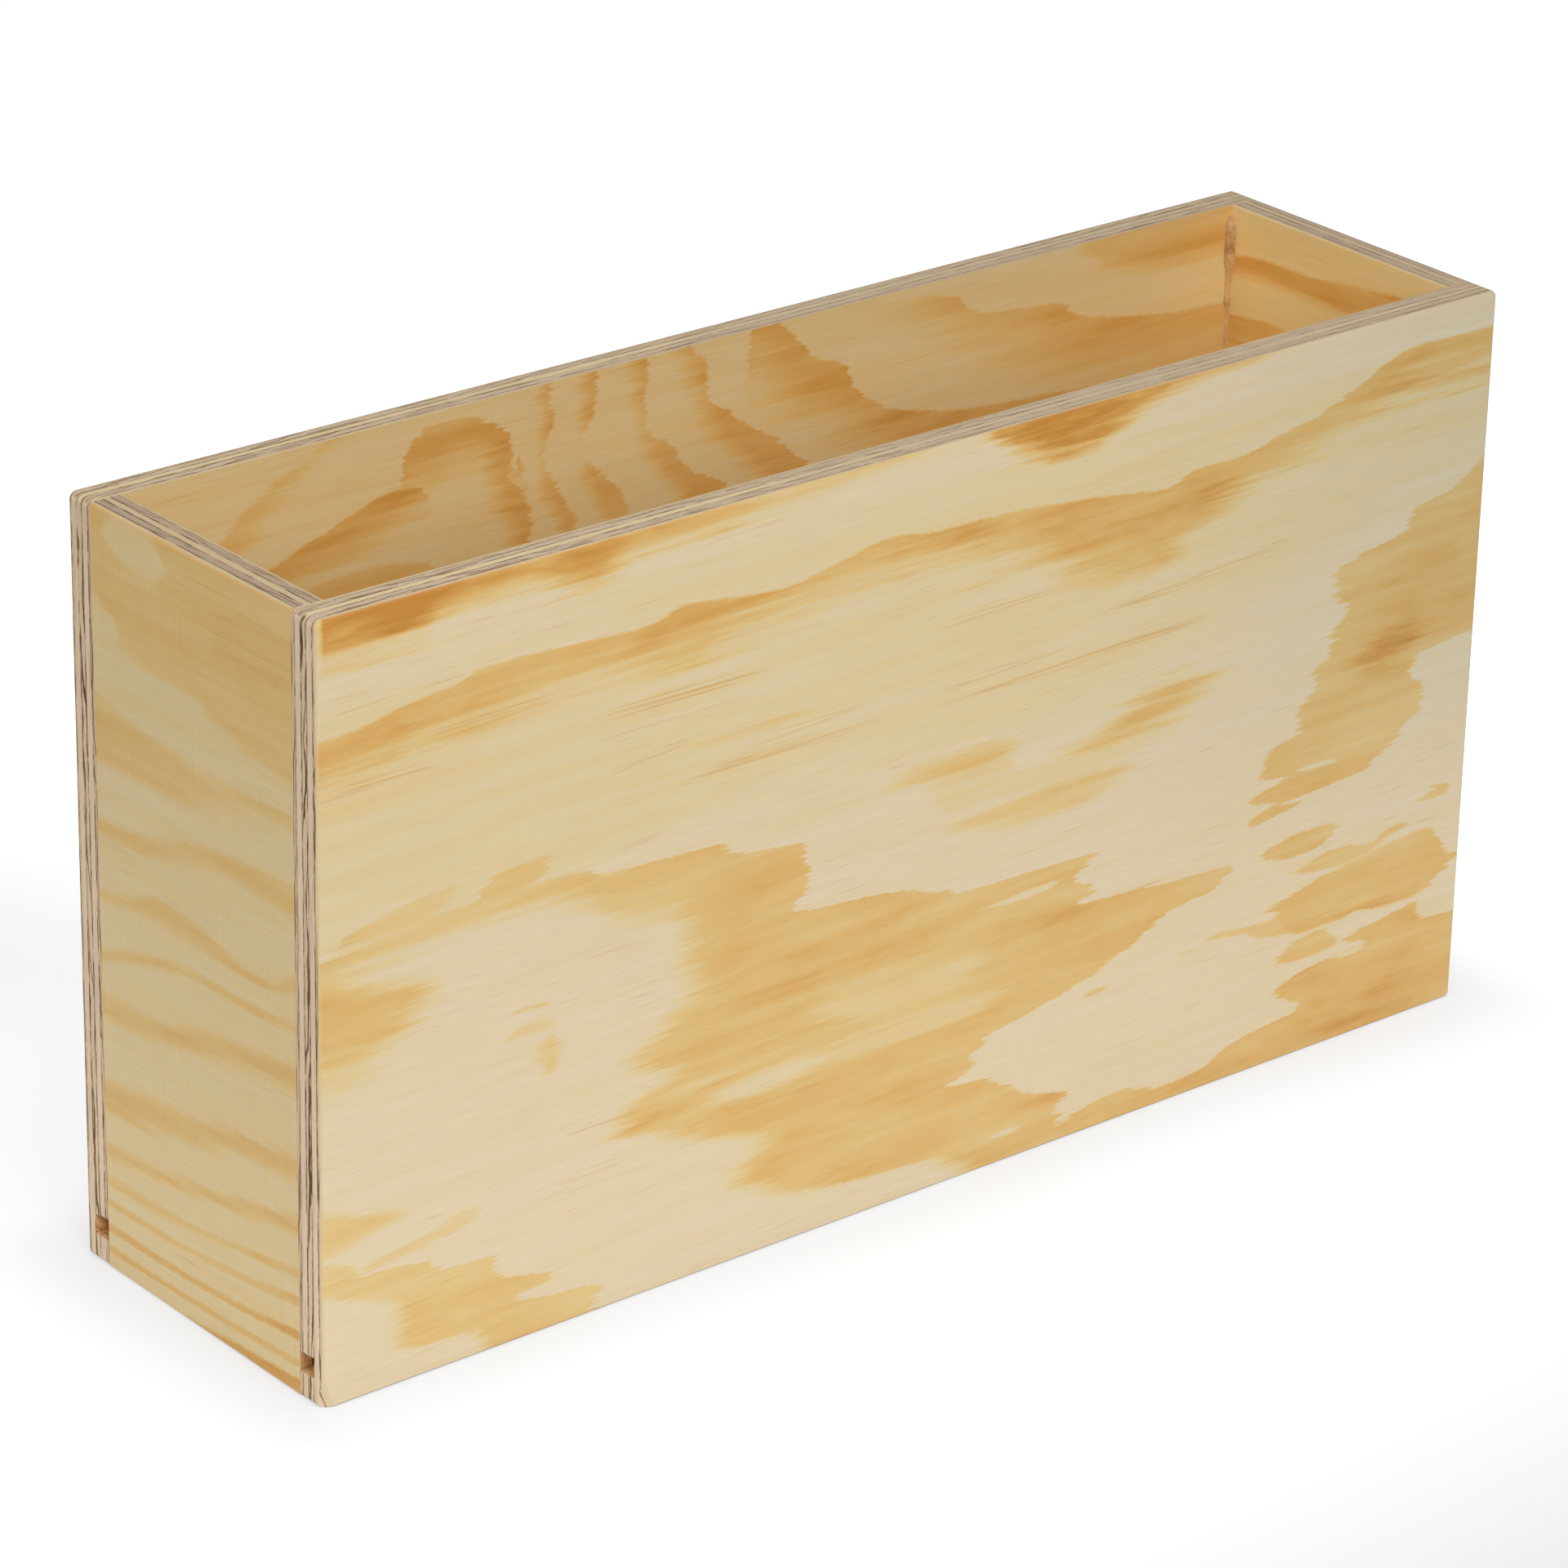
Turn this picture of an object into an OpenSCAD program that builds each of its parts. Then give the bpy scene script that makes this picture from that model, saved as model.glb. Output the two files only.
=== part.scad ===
// Open index card box of pine plywood, in millimetres.
// Two long boards and two end boards are butted and glued, and a thin floor stands in a groove.
// Every board is drawn ply by ply, because the plies show on all of its edges.

/* [Box] */
// Outside length, along the front and back boards
box_l = 360; // [150:1:600]
// Outside depth, from the front face to the back face
box_d = 96; // [60:1:300]
// Outside height
box_h = 195; // [60:1:400]

/* [Board plies] */
// Thickness of the two face veneers of a board
veneer_t = 1.2; // [0.8:0.1:2]
// Thickness of the two crossbands of a board
crossband_t = 2.3; // [1.5:0.1:4]
// Thickness of the core veneer of a board
core_t = 2; // [1:0.1:4]

/* [Sanded edges] */
// Radius of the upper corners of the front and back boards, seen from the front
corner_r = 2; // [1.4:0.1:6]
// Radius of the lower corners of the front and back boards, seen from the front
foot_r = 1.5; // [1:0.1:6]
// Radius of the sanded arris round the outer faces
arris_r = 1; // [0.2:0.1:1.2]
// Least flat left on the edge of a face veneer beside its sanded arris
arris_land = 0.2; // [0.1:0.1:0.4]

/* [Groove] */
// Height of the groove's lower side above the underside of the box
groove_z = 7; // [3:0.5:20]
// Depth of the groove in all four boards, from their inner faces
groove_depth = 5.5; // [3:0.1:6.5]
// Clearance in the groove above the floor
groove_clear = 0.2; // [0.1:0.05:0.5]
// Gap between the floor's edges and the bottom of the groove
tongue_gap = 1.5; // [0.5:0.1:2]

/* [Floor plies] */
// Thickness of the two face veneers of the floor
floor_veneer_t = 1.4; // [0.8:0.1:2]
// Thickness of the core veneer of the floor
floor_core_t = 2; // [1:0.1:4]

/* [Glue] */
// Radius of the squeezed-out glue in the four inside corners
bead_r = 1.5; // [0.5:0.1:4]
// Distance from the rim down to the top of the glue
bead_drop = 5; // [2:0.5:20]

/* [Hidden] */

// Smoothness of the drawn curves
$fn = 48;

// Plies of a board, counted from its outer face
face_ply = 0;
outer_crossband_ply = 1;
core_ply = 2;
inner_crossband_ply = 3;
inner_ply = 4;
board_plies = [veneer_t, crossband_t, core_t, crossband_t, veneer_t];

// Plies of the floor, counted from its underside
floor_plies = [floor_veneer_t, floor_core_t, floor_veneer_t];

// Depth at which a ply starts, below the face that the plies are counted from
function ply_start(plies, i) = i == 0 ? 0 : ply_start(plies, i - 1) + plies[i - 1];

board_t = ply_start(board_plies, len(board_plies));
floor_t = ply_start(floor_plies, len(floor_plies));
ease = min(arris_r, veneer_t - arris_land, corner_r - arris_land, foot_r - arris_land);
inner_l = box_l - 2 * board_t;
inner_d = box_d - 2 * board_t;
groove_h = floor_t + groove_clear;
floor_inset = board_t - groove_depth + tongue_gap;
floor_top = groove_z + floor_t;
cut_over = 1;

veneer_tone = "#E6CC98";
crossband_tone = "#BBA88E";
core_tone = "#D8C198";
glue_tone = "#B0825A";

// Quarter of a disc between the two positive axes
module quarter_disc(r) {
    intersection() {
        circle(r);
        square(r);
    }
}

// Section of a plate's border of width w and thickness t, with its outer top arris rounded
module eased_section(w, t) {
    square([w - ease, t]);
    square([w, t - ease]);
    translate([w - ease, t - ease]) quarter_disc(ease);
}

// Rectangle that stands on the X axis, its upper corners rounded to r and its lower ones to foot
module board_outline(l, h, r, foot) {
    translate([foot - l / 2, 0]) square([l - 2 * foot, h - r]);
    translate([r - l / 2, foot]) square([l - 2 * r, h - foot]);
    translate([-l / 2, foot]) square([l, h - r - foot]);
    for (side = [-1, 1]) {
        translate([side * (l / 2 - r), h - r]) circle(r);
        translate([side * (l / 2 - foot), foot]) circle(foot);
    }
}

// The same rectangle as a plate lying on the XY plane, with the arris round its upper face sanded
module eased_plate(l, h, t, r, foot) {
    side_w = max(r, foot);
    side_h = h - r - foot;
    translate([side_w - l / 2, foot, 0]) cube([l - 2 * side_w, side_h, t]);
    for (turn = [0, 180]) {
        translate([0, foot + side_h / 2, 0]) rotate(turn) translate([l / 2 - side_w, 0, 0])
            rotate([90, 0, 0]) linear_extrude(side_h, center = true) eased_section(side_w, t);
    }
    translate([0, h - r, 0]) rotate([90, 0, 90])
        linear_extrude(l - 2 * r, center = true) eased_section(r, t);
    translate([0, foot, 0]) rotate(180) rotate([90, 0, 90])
        linear_extrude(l - 2 * foot, center = true) eased_section(foot, t);
    corners = [[1, h - r, r, 0], [-1, h - r, r, 90], [-1, foot, foot, 180], [1, foot, foot, 270]];
    for (corner = corners) {
        translate([corner[0] * (l / 2 - corner[2]), corner[1], 0]) rotate(corner[3])
            rotate_extrude(angle = 90) eased_section(corner[2], t);
    }
}

// Section of an end board's face veneer, with its upper and lower arris sanded
module eased_strip(t, h) {
    square([t - ease, h]);
    translate([0, ease]) square([t, h - 2 * ease]);
    translate([t - ease, h - ease]) quarter_disc(ease);
    translate([t - ease, ease]) mirror([0, 1]) quarter_disc(ease);
}

// One ply of the front board, without the groove
module plain_front_ply(i) {
    translate([0, ply_start(board_plies, i + 1) - box_d / 2, 0]) rotate([90, 0, 0])
        if (i == face_ply) {
            eased_plate(box_l, box_h, board_plies[i], corner_r, foot_r);
        } else {
            linear_extrude(board_plies[i]) board_outline(box_l, box_h, corner_r, foot_r);
        }
}

// One ply of the front board, cut by the groove that runs out at both ends
module front_ply(i) {
    difference() {
        plain_front_ply(i);
        translate([-box_l / 2 - cut_over, board_t - groove_depth - box_d / 2, groove_z])
            cube([box_l + 2 * cut_over, groove_depth + cut_over, groove_h]);
    }
}

module back_ply(i) {
    mirror([0, 1, 0]) front_ply(i);
}

// One ply of the right end board, without the groove
module plain_end_ply(i) {
    translate([box_l / 2 - ply_start(board_plies, i + 1), inner_d / 2, 0]) rotate([90, 0, 0])
        linear_extrude(inner_d)
            if (i == face_ply) {
                eased_strip(board_plies[i], box_h);
            } else {
                square([board_plies[i], box_h]);
            }
}

// One ply of the right end board, cut by its groove
module right_ply(i) {
    difference() {
        plain_end_ply(i);
        translate([inner_l / 2 - cut_over, -inner_d / 2 - cut_over, groove_z])
            cube([groove_depth + cut_over, inner_d + 2 * cut_over, groove_h]);
    }
}

module left_ply(i) {
    mirror([1, 0, 0]) right_ply(i);
}

// One ply of the floor, which rests on the lower side of the groove
module floor_ply(i) {
    l = box_l - 2 * floor_inset;
    d = box_d - 2 * floor_inset;
    translate([-l / 2, -d / 2, groove_z + ply_start(floor_plies, i)]) cube([l, d, floor_plies[i]]);
}

// Squeezed-out glue in the inside corner on the given sides, from the floor to near the rim
module glue_bead(side_x, side_y) {
    mirror([side_x > 0 ? 1 : 0, 0, 0]) mirror([0, side_y > 0 ? 1 : 0, 0])
        translate([-inner_l / 2, -inner_d / 2, floor_top])
            linear_extrude(box_h - bead_drop - floor_top) quarter_disc(bead_r);
}

module front_face_veneer() { color(veneer_tone) front_ply(face_ply); }
module front_outer_crossband() { color(crossband_tone) front_ply(outer_crossband_ply); }
module front_core() { color(core_tone) front_ply(core_ply); }
module front_inner_crossband() { color(crossband_tone) front_ply(inner_crossband_ply); }
module front_inner_veneer() { color(veneer_tone) front_ply(inner_ply); }

module back_face_veneer() { color(veneer_tone) back_ply(face_ply); }
module back_outer_crossband() { color(crossband_tone) back_ply(outer_crossband_ply); }
module back_core() { color(core_tone) back_ply(core_ply); }
module back_inner_crossband() { color(crossband_tone) back_ply(inner_crossband_ply); }
module back_inner_veneer() { color(veneer_tone) back_ply(inner_ply); }

module left_end_face_veneer() { color(veneer_tone) left_ply(face_ply); }
module left_end_outer_crossband() { color(crossband_tone) left_ply(outer_crossband_ply); }
module left_end_core() { color(core_tone) left_ply(core_ply); }
module left_end_inner_crossband() { color(crossband_tone) left_ply(inner_crossband_ply); }
module left_end_inner_veneer() { color(veneer_tone) left_ply(inner_ply); }

module right_end_face_veneer() { color(veneer_tone) right_ply(face_ply); }
module right_end_outer_crossband() { color(crossband_tone) right_ply(outer_crossband_ply); }
module right_end_core() { color(core_tone) right_ply(core_ply); }
module right_end_inner_crossband() { color(crossband_tone) right_ply(inner_crossband_ply); }
module right_end_inner_veneer() { color(veneer_tone) right_ply(inner_ply); }

module floor_bottom_veneer() { color(veneer_tone) floor_ply(0); }
module floor_core() { color(core_tone) floor_ply(1); }
module floor_top_veneer() { color(veneer_tone) floor_ply(2); }

module glue_bead_front_left() { color(glue_tone) glue_bead(-1, -1); }
module glue_bead_front_right() { color(glue_tone) glue_bead(1, -1); }
module glue_bead_back_left() { color(glue_tone) glue_bead(-1, 1); }
module glue_bead_back_right() { color(glue_tone) glue_bead(1, 1); }

front_face_veneer();
front_outer_crossband();
front_core();
front_inner_crossband();
front_inner_veneer();
back_face_veneer();
back_outer_crossband();
back_core();
back_inner_crossband();
back_inner_veneer();
left_end_face_veneer();
left_end_outer_crossband();
left_end_core();
left_end_inner_crossband();
left_end_inner_veneer();
right_end_face_veneer();
right_end_outer_crossband();
right_end_core();
right_end_inner_crossband();
right_end_inner_veneer();
floor_bottom_veneer();
floor_core();
floor_top_veneer();
glue_bead_front_left();
glue_bead_front_right();
glue_bead_back_left();
glue_bead_back_right();
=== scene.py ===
import math

import bmesh
import bpy
from mathutils import Matrix, Vector


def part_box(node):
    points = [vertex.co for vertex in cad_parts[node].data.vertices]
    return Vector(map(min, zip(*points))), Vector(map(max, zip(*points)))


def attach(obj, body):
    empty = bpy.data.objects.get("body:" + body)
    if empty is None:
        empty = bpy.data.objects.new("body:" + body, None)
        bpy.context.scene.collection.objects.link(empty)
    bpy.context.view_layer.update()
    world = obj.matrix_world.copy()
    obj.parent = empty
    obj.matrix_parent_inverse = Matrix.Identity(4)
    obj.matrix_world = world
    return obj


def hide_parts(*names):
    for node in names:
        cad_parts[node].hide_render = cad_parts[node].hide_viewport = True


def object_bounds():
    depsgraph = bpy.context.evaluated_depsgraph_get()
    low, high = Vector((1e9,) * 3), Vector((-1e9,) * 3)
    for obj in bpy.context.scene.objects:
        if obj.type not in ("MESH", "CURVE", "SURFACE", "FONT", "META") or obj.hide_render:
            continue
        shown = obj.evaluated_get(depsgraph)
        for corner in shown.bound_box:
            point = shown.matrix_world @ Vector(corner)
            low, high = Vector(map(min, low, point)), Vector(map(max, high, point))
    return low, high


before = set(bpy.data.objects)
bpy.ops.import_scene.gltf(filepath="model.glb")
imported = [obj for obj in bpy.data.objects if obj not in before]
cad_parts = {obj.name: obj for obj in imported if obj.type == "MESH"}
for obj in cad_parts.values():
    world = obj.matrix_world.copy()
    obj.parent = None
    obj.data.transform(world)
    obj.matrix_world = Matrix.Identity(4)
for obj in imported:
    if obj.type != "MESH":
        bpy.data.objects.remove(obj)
cadLow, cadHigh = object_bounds()
print("frame loaded,", len(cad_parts), "nodes")

xAxis, yAxis, zAxis = 0, 1, 2
mm = 0.001
inMm = 1000.0


# ordinary screen colour, 0 to 255, as the linear colour that nodes take
def tint(red, green, blue):
    linear = []
    for value in (red, green, blue):
        share = value / 255
        linear.append(share / 12.92 if share <= 0.04045 else ((share + 0.055) / 1.055) ** 2.4)
    return (*linear, 1)


# small tools for node trees, where a value is a number or another node's socket
def feed(tree, socket, value):
    if isinstance(value, bpy.types.NodeSocket):
        tree.links.new(value, socket)
    else:
        socket.default_value = value


def calc(tree, operation, *values):
    node = tree.nodes.new("ShaderNodeMath")
    node.operation = operation
    for socket, value in zip(node.inputs, values):
        feed(tree, socket, value)
    return node.outputs[0]


def minus(tree, first, second):
    return calc(tree, "SUBTRACT", first, second)


def times(tree, first, *others):
    for other in others:
        first = calc(tree, "MULTIPLY", first, other)
    return first


def plus(tree, first, *others):
    for other in others:
        first = calc(tree, "ADD", first, other)
    return first


def inverse(tree, value):
    return minus(tree, 1.0, value)


def scaled(tree, value, factor, start):
    return calc(tree, "MULTIPLY_ADD", value, factor, start)


# a noise that swings about zero
def swing(tree, noise, size):
    return times(tree, minus(tree, noise, 0.5), size)


def vectorCalc(tree, operation, *values):
    node = tree.nodes.new("ShaderNodeVectorMath")
    node.operation = operation
    for socket, value in zip(node.inputs, values):
        feed(tree, socket, value)
    return node.outputs["Value" if operation in ("LENGTH", "DOT_PRODUCT") else "Vector"]


# eases from the first value to the last while the input goes from low to high
def smooth(tree, value, low, high, first=0.0, last=1.0):
    node = tree.nodes.new("ShaderNodeMapRange")
    node.interpolation_type = "SMOOTHSTEP"
    settings = {"Value": value, "From Min": low, "From Max": high, "To Min": first, "To Max": last}
    for label, setting in settings.items():
        feed(tree, node.inputs[label], setting)
    return node.outputs["Result"]


def blendColour(tree, share, first, second, mode="MIX"):
    node = tree.nodes.new("ShaderNodeMix")
    node.data_type = "RGBA"
    node.blend_type = mode
    feed(tree, node.inputs[0], share)
    feed(tree, node.inputs[6], first)
    feed(tree, node.inputs[7], second)
    return node.outputs[2]


def mixValue(tree, share, first, second):
    node = tree.nodes.new("ShaderNodeMix")
    node.data_type = "FLOAT"
    feed(tree, node.inputs[0], share)
    feed(tree, node.inputs[2], first)
    feed(tree, node.inputs[3], second)
    return node.outputs[0]


# noise stretched along the grain, its rates are waves per millimetre
def grainNoise(tree, along, across, seed, alongRate, acrossRate, detail, rough):
    place = tree.nodes.new("ShaderNodeCombineXYZ")
    feed(tree, place.inputs[0], times(tree, along, alongRate))
    feed(tree, place.inputs[1], times(tree, across, acrossRate))
    feed(tree, place.inputs[2], seed)
    node = tree.nodes.new("ShaderNodeTexNoise")
    node.noise_dimensions = "3D"
    node.inputs["Scale"].default_value = 1
    node.inputs["Detail"].default_value = detail
    node.inputs["Roughness"].default_value = rough
    feed(tree, node.inputs["Vector"], place.outputs[0])
    return node.outputs[0]


# several noises of one surface: step of the seed, rates along and across, detail, roughness
def grainLayers(tree, along, across, seed, layers):
    noise = {}
    for name, (step, *shape) in layers.items():
        own = plus(tree, seed, step) if step else seed
        noise[name] = grainNoise(tree, along, across, own, *shape)
    return noise


def colourSteps(tree, value, steps):
    node = tree.nodes.new("ShaderNodeValToRGB")
    ramp = node.color_ramp
    while len(ramp.elements) < len(steps):
        ramp.elements.new(0.5)
    for element, (place, colour) in zip(ramp.elements, steps):
        element.position = place
        element.color = tint(*colour)
    feed(tree, node.inputs[0], value)
    return node.outputs[0]


def newGroup(name, inputs, outputs):
    tree = bpy.data.node_groups.new(name, "ShaderNodeTree")
    for side, labels in (("INPUT", inputs), ("OUTPUT", outputs)):
        for label in labels:
            kind = "NodeSocketColor" if label.endswith("Tint") else "NodeSocketFloat"
            tree.interface.new_socket(name=label, in_out=side, socket_type=kind)
    return tree, tree.nodes.new("NodeGroupInput").outputs, tree.nodes.new("NodeGroupOutput").inputs


def useGroup(tree, group, values):
    node = tree.nodes.new("ShaderNodeGroup")
    node.node_tree = group
    for label, value in values.items():
        feed(tree, node.inputs[label], value)
    return node.outputs


def newMaterial(name):
    material = bpy.data.materials.new(name)
    material.use_nodes = True
    tree = material.node_tree
    return material, tree, tree.nodes["Principled BSDF"]


def objectPlace(tree):
    return tree.nodes.new("ShaderNodeTexCoord").outputs["Object"]


def splitAxes(tree, vector):
    node = tree.nodes.new("ShaderNodeSeparateXYZ")
    feed(tree, node.inputs[0], vector)
    return node.outputs


def addBump(tree, shader, height, strength, distance):
    bump = tree.nodes.new("ShaderNodeBump")
    bump.inputs["Strength"].default_value = strength
    bump.inputs["Distance"].default_value = distance
    feed(tree, bump.inputs["Height"], height)
    feed(tree, shader.inputs["Normal"], bump.outputs[0])


# studio: pale floor that glows, soft light, camera at the photo's angle
studio = {
    "floorSize": 6.0,
    "floorTint": (160, 163, 168),
    "floorRough": 0.9,
    "floorShine": 0.1,
    "footprint": (0.18, 0.048, 0.0),
    "behindWay": (0.64, 0.77, 0.0),
    # glow of the paper: from and to, in metres, and its strength at each end
    "nearGlow": (0.08, 0.45, 0.66, 0),
    "footShade": (0.0, 0.03, -0.09, 0),
    "behindGlow": (0.06, 0.32, 0, 0.8),
    "skyTint": (255, 254, 252),
    "skyStrength": 0.12,
    "softboxes": {
        "keySoftbox": {"place": (-0.35, -1.1, 1.0), "aim": (0, 0, 0.1), "size": 1.1, "power": 12},
        "topSoftbox": {"place": (0, 0, 1.6), "aim": (0, 0, 0), "size": 1.6, "power": 17},
        "leftSoftbox": {"place": (-1.3, -0.2, 0.8), "aim": (0, 0, 0.1), "size": 1.2, "power": 4.6},
    },
}
cameraPlace = {
    "azimuth": -39.83,
    "elevation": 24.016,
    "roll": 1.25,
    "distance": 1.5516,
    "target": (-0.00735, 0, 0.09343),
    "lens": 146.584,
    "sensor": 36,
}


def makeFloor():
    bpy.ops.object.select_all(action="DESELECT")
    bpy.ops.mesh.primitive_plane_add(size=studio["floorSize"], location=(0, 0, 0))
    floor = bpy.context.active_object
    floor.name = "studio_floor"
    paper, tree, shader = newMaterial("palePaper")
    shader.inputs["Base Color"].default_value = tint(*studio["floorTint"])
    shader.inputs["Roughness"].default_value = studio["floorRough"]
    shader.inputs["Specular IOR Level"].default_value = studio["floorShine"]
    shader.inputs["Emission Color"].default_value = (1, 1, 1, 1)
    # the paper glows near the box and behind it as painted light, and a painted shadow makes it a little
    # darker at the box's foot
    spot = objectPlace(tree)
    past = vectorCalc(tree, "SUBTRACT", vectorCalc(tree, "ABSOLUTE", spot), studio["footprint"])
    away = vectorCalc(tree, "LENGTH", vectorCalc(tree, "MAXIMUM", past, (0, 0, 0)))
    behind = vectorCalc(tree, "DOT_PRODUCT", spot, studio["behindWay"])
    glow = plus(tree, smooth(tree, away, *studio["nearGlow"]), smooth(tree, away, *studio["footShade"]),
                smooth(tree, behind, *studio["behindGlow"]))
    feed(tree, shader.inputs["Emission Strength"], glow)
    floor.data.materials.append(paper)


def makeLights():
    sky = bpy.data.worlds.new("studioSky")
    sky.use_nodes = True
    backdrop = sky.node_tree.nodes["Background"]
    backdrop.inputs["Color"].default_value = tint(*studio["skyTint"])
    backdrop.inputs["Strength"].default_value = studio["skyStrength"]
    bpy.context.scene.world = sky
    for name, box in studio["softboxes"].items():
        bpy.ops.object.select_all(action="DESELECT")
        bpy.ops.object.light_add(type="AREA", location=box["place"])
        light = bpy.context.active_object
        light.name = name
        light.data.shape = "SQUARE"
        light.data.size = box["size"]
        light.data.energy = box["power"]
        look = Vector(box["aim"]) - Vector(box["place"])
        light.rotation_euler = look.to_track_quat("-Z", "Y").to_euler()


def makeCamera():
    angles = [math.radians(cameraPlace[name]) for name in ("azimuth", "elevation", "roll")]
    azimuth, elevation, roll = angles
    back = Vector((math.sin(azimuth) * math.cos(elevation), -math.cos(azimuth) * math.cos(elevation),
                   math.sin(elevation)))
    level = Vector((math.cos(azimuth), math.sin(azimuth), 0))
    rise = back.cross(level)
    right = level * math.cos(roll) + rise * math.sin(roll)
    up = rise * math.cos(roll) - level * math.sin(roll)
    bpy.ops.object.select_all(action="DESELECT")
    bpy.ops.object.camera_add()
    camera = bpy.context.active_object
    camera.name = "photo_camera"
    camera.data.sensor_width = cameraPlace["sensor"]
    camera.data.lens = cameraPlace["lens"]
    place = Vector(cameraPlace["target"]) + back * cameraPlace["distance"]
    turn = Matrix((right, up, back)).transposed().to_4x4()
    camera.matrix_world = Matrix.Translation(place) @ turn
    bpy.context.scene.camera = camera


makeFloor()
makeLights()
makeCamera()
bpy.context.scene.view_settings.view_transform = "Standard"
print("studio ready")


# one band of late wood between two edges: each has its own softness, and the comb frays the soft ones
def makeBandGroup():
    tree, given, made = newGroup(
        "latewoodBand", ["Place", "High", "Low", "High Soft", "Low Soft", "Amount", "Comb"], ["Mask"])
    above = calc(tree, "DIVIDE", minus(tree, given["High"], given["Place"]), given["High Soft"])
    below = calc(tree, "DIVIDE", minus(tree, given["Place"], given["Low"]), given["Low Soft"])
    above = smooth(tree, plus(tree, above, given["Comb"]), 0, 1)
    below = smooth(tree, plus(tree, below, given["Comb"]), 0, 1)
    feed(tree, made["Mask"], times(tree, above, below, given["Amount"]))
    return tree


# teeth: the grain slides along itself by a noise that is fine across it
grainTeeth = {
    "layers": {
        "slide": (0, 0.028, 0.8, 5, 0.75),
        "ripple": (7, 0.35, 0.6, 4, 0.7),
        "comb": (13, 0.016, 0.3, 3, 0.6),
    },
    "rippleSize": 1.6,
    "combSize": 1.3,
}


def makeTeethGroup():
    tree, given, made = newGroup(
        "grainTeeth", ["Along", "Across", "Seed", "Length"], ["Along", "Across", "Comb"])
    along, across = given["Along"], given["Across"]
    noise = grainLayers(tree, along, across, given["Seed"], grainTeeth["layers"])
    feed(tree, made["Along"], plus(tree, along, swing(tree, noise["slide"], given["Length"])))
    feed(tree, made["Across"], plus(tree, across, swing(tree, noise["ripple"], grainTeeth["rippleSize"])))
    feed(tree, made["Comb"], swing(tree, noise["comb"], grainTeeth["combSize"]))
    return tree


# a brown streak along the grain: one broken line and finer ones beside it, fading at its ends
brownStreak = {
    "layers": {"fibre": (19, 0.02, 1.6, 2, 0.5)},
    "fibre": (0.5, 0.68),
    "line": (0.0, 0.5, 1, 0),
    "beside": (0.5, 2.6, 1, 0),
    "broken": (0.4, 0.6),
    "ends": (0.0, 0.2),
}


def makeStreakGroup():
    tree, given, made = newGroup(
        "brownStreak", ["Along", "Across", "Fibre", "From", "To", "Low", "High", "Strength"], ["Mask"])
    length = minus(tree, given["To"], given["From"])
    share = calc(tree, "DIVIDE", minus(tree, given["Along"], given["From"]), length)
    line = mixValue(tree, share, given["Low"], given["High"])
    off = calc(tree, "ABSOLUTE", minus(tree, given["Across"], line))
    thin = times(tree, smooth(tree, off, *brownStreak["line"]),
                 scaled(tree, given["Fibre"], *brownStreak["broken"]))
    beside = times(tree, smooth(tree, off, *brownStreak["beside"]), given["Fibre"])
    ends = smooth(tree, times(tree, share, inverse(tree, share)), *brownStreak["ends"])
    feed(tree, made["Mask"], times(tree, calc(tree, "MAXIMUM", thin, beside), ends, given["Strength"]))
    return tree


bandGroup = makeBandGroup()
teethGroup = makeTeethGroup()
streakGroup = makeStreakGroup()


# an edge of a band: where it lies across the grain at each place along it
def edgeLine(tree, place, points, span, reach):
    node = tree.nodes.new("ShaderNodeFloatCurve")
    node.mapping.extend = "HORIZONTAL"
    curve = node.mapping.curves[0]
    width, height = span[1] - span[0], reach[1] - reach[0]
    spots = [((a - span[0]) / width, (b - reach[0]) / height) for a, b in points]
    curve.points[0].location = spots[0]
    curve.points[1].location = spots[-1]
    for spot in spots[1:-1]:
        curve.points.new(*spot)
    for point in curve.points:
        point.handle_type = "AUTO_CLAMPED"
    node.mapping.update()
    feed(tree, node.inputs["Value"], calc(tree, "DIVIDE", minus(tree, place, span[0]), width))
    return scaled(tree, node.outputs[0], height, reach[0])


# how a band closes at its ends, in millimetres
bandEnds = {"gap": 6, "step": 4, "uprightStep": 2}


# a band of a figure: its high and low edge, their softness, its strength, and whether it is amber,
# a deep spot in the amber, or a pale place that clears both
# an upright one has its edges along the grain, one place for each height, a straight one has no teeth
def band(high, low, soft, amount, kind="amber", upright=False, straight=False):
    # the high edge drops below the low one just past the ends, which closes the band
    gap = max(bandEnds["gap"], sum(soft) / 2)
    step = bandEnds["uprightStep" if upright else "step"]
    closed = [(high[0][0] - step, low[0][1] - gap), *high, (high[-1][0] + step, low[-1][1] - gap)]
    return {"high": closed, "low": low, "soft": soft, "amount": amount, "kind": kind, "upright": upright,
            "straight": straight}


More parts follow.
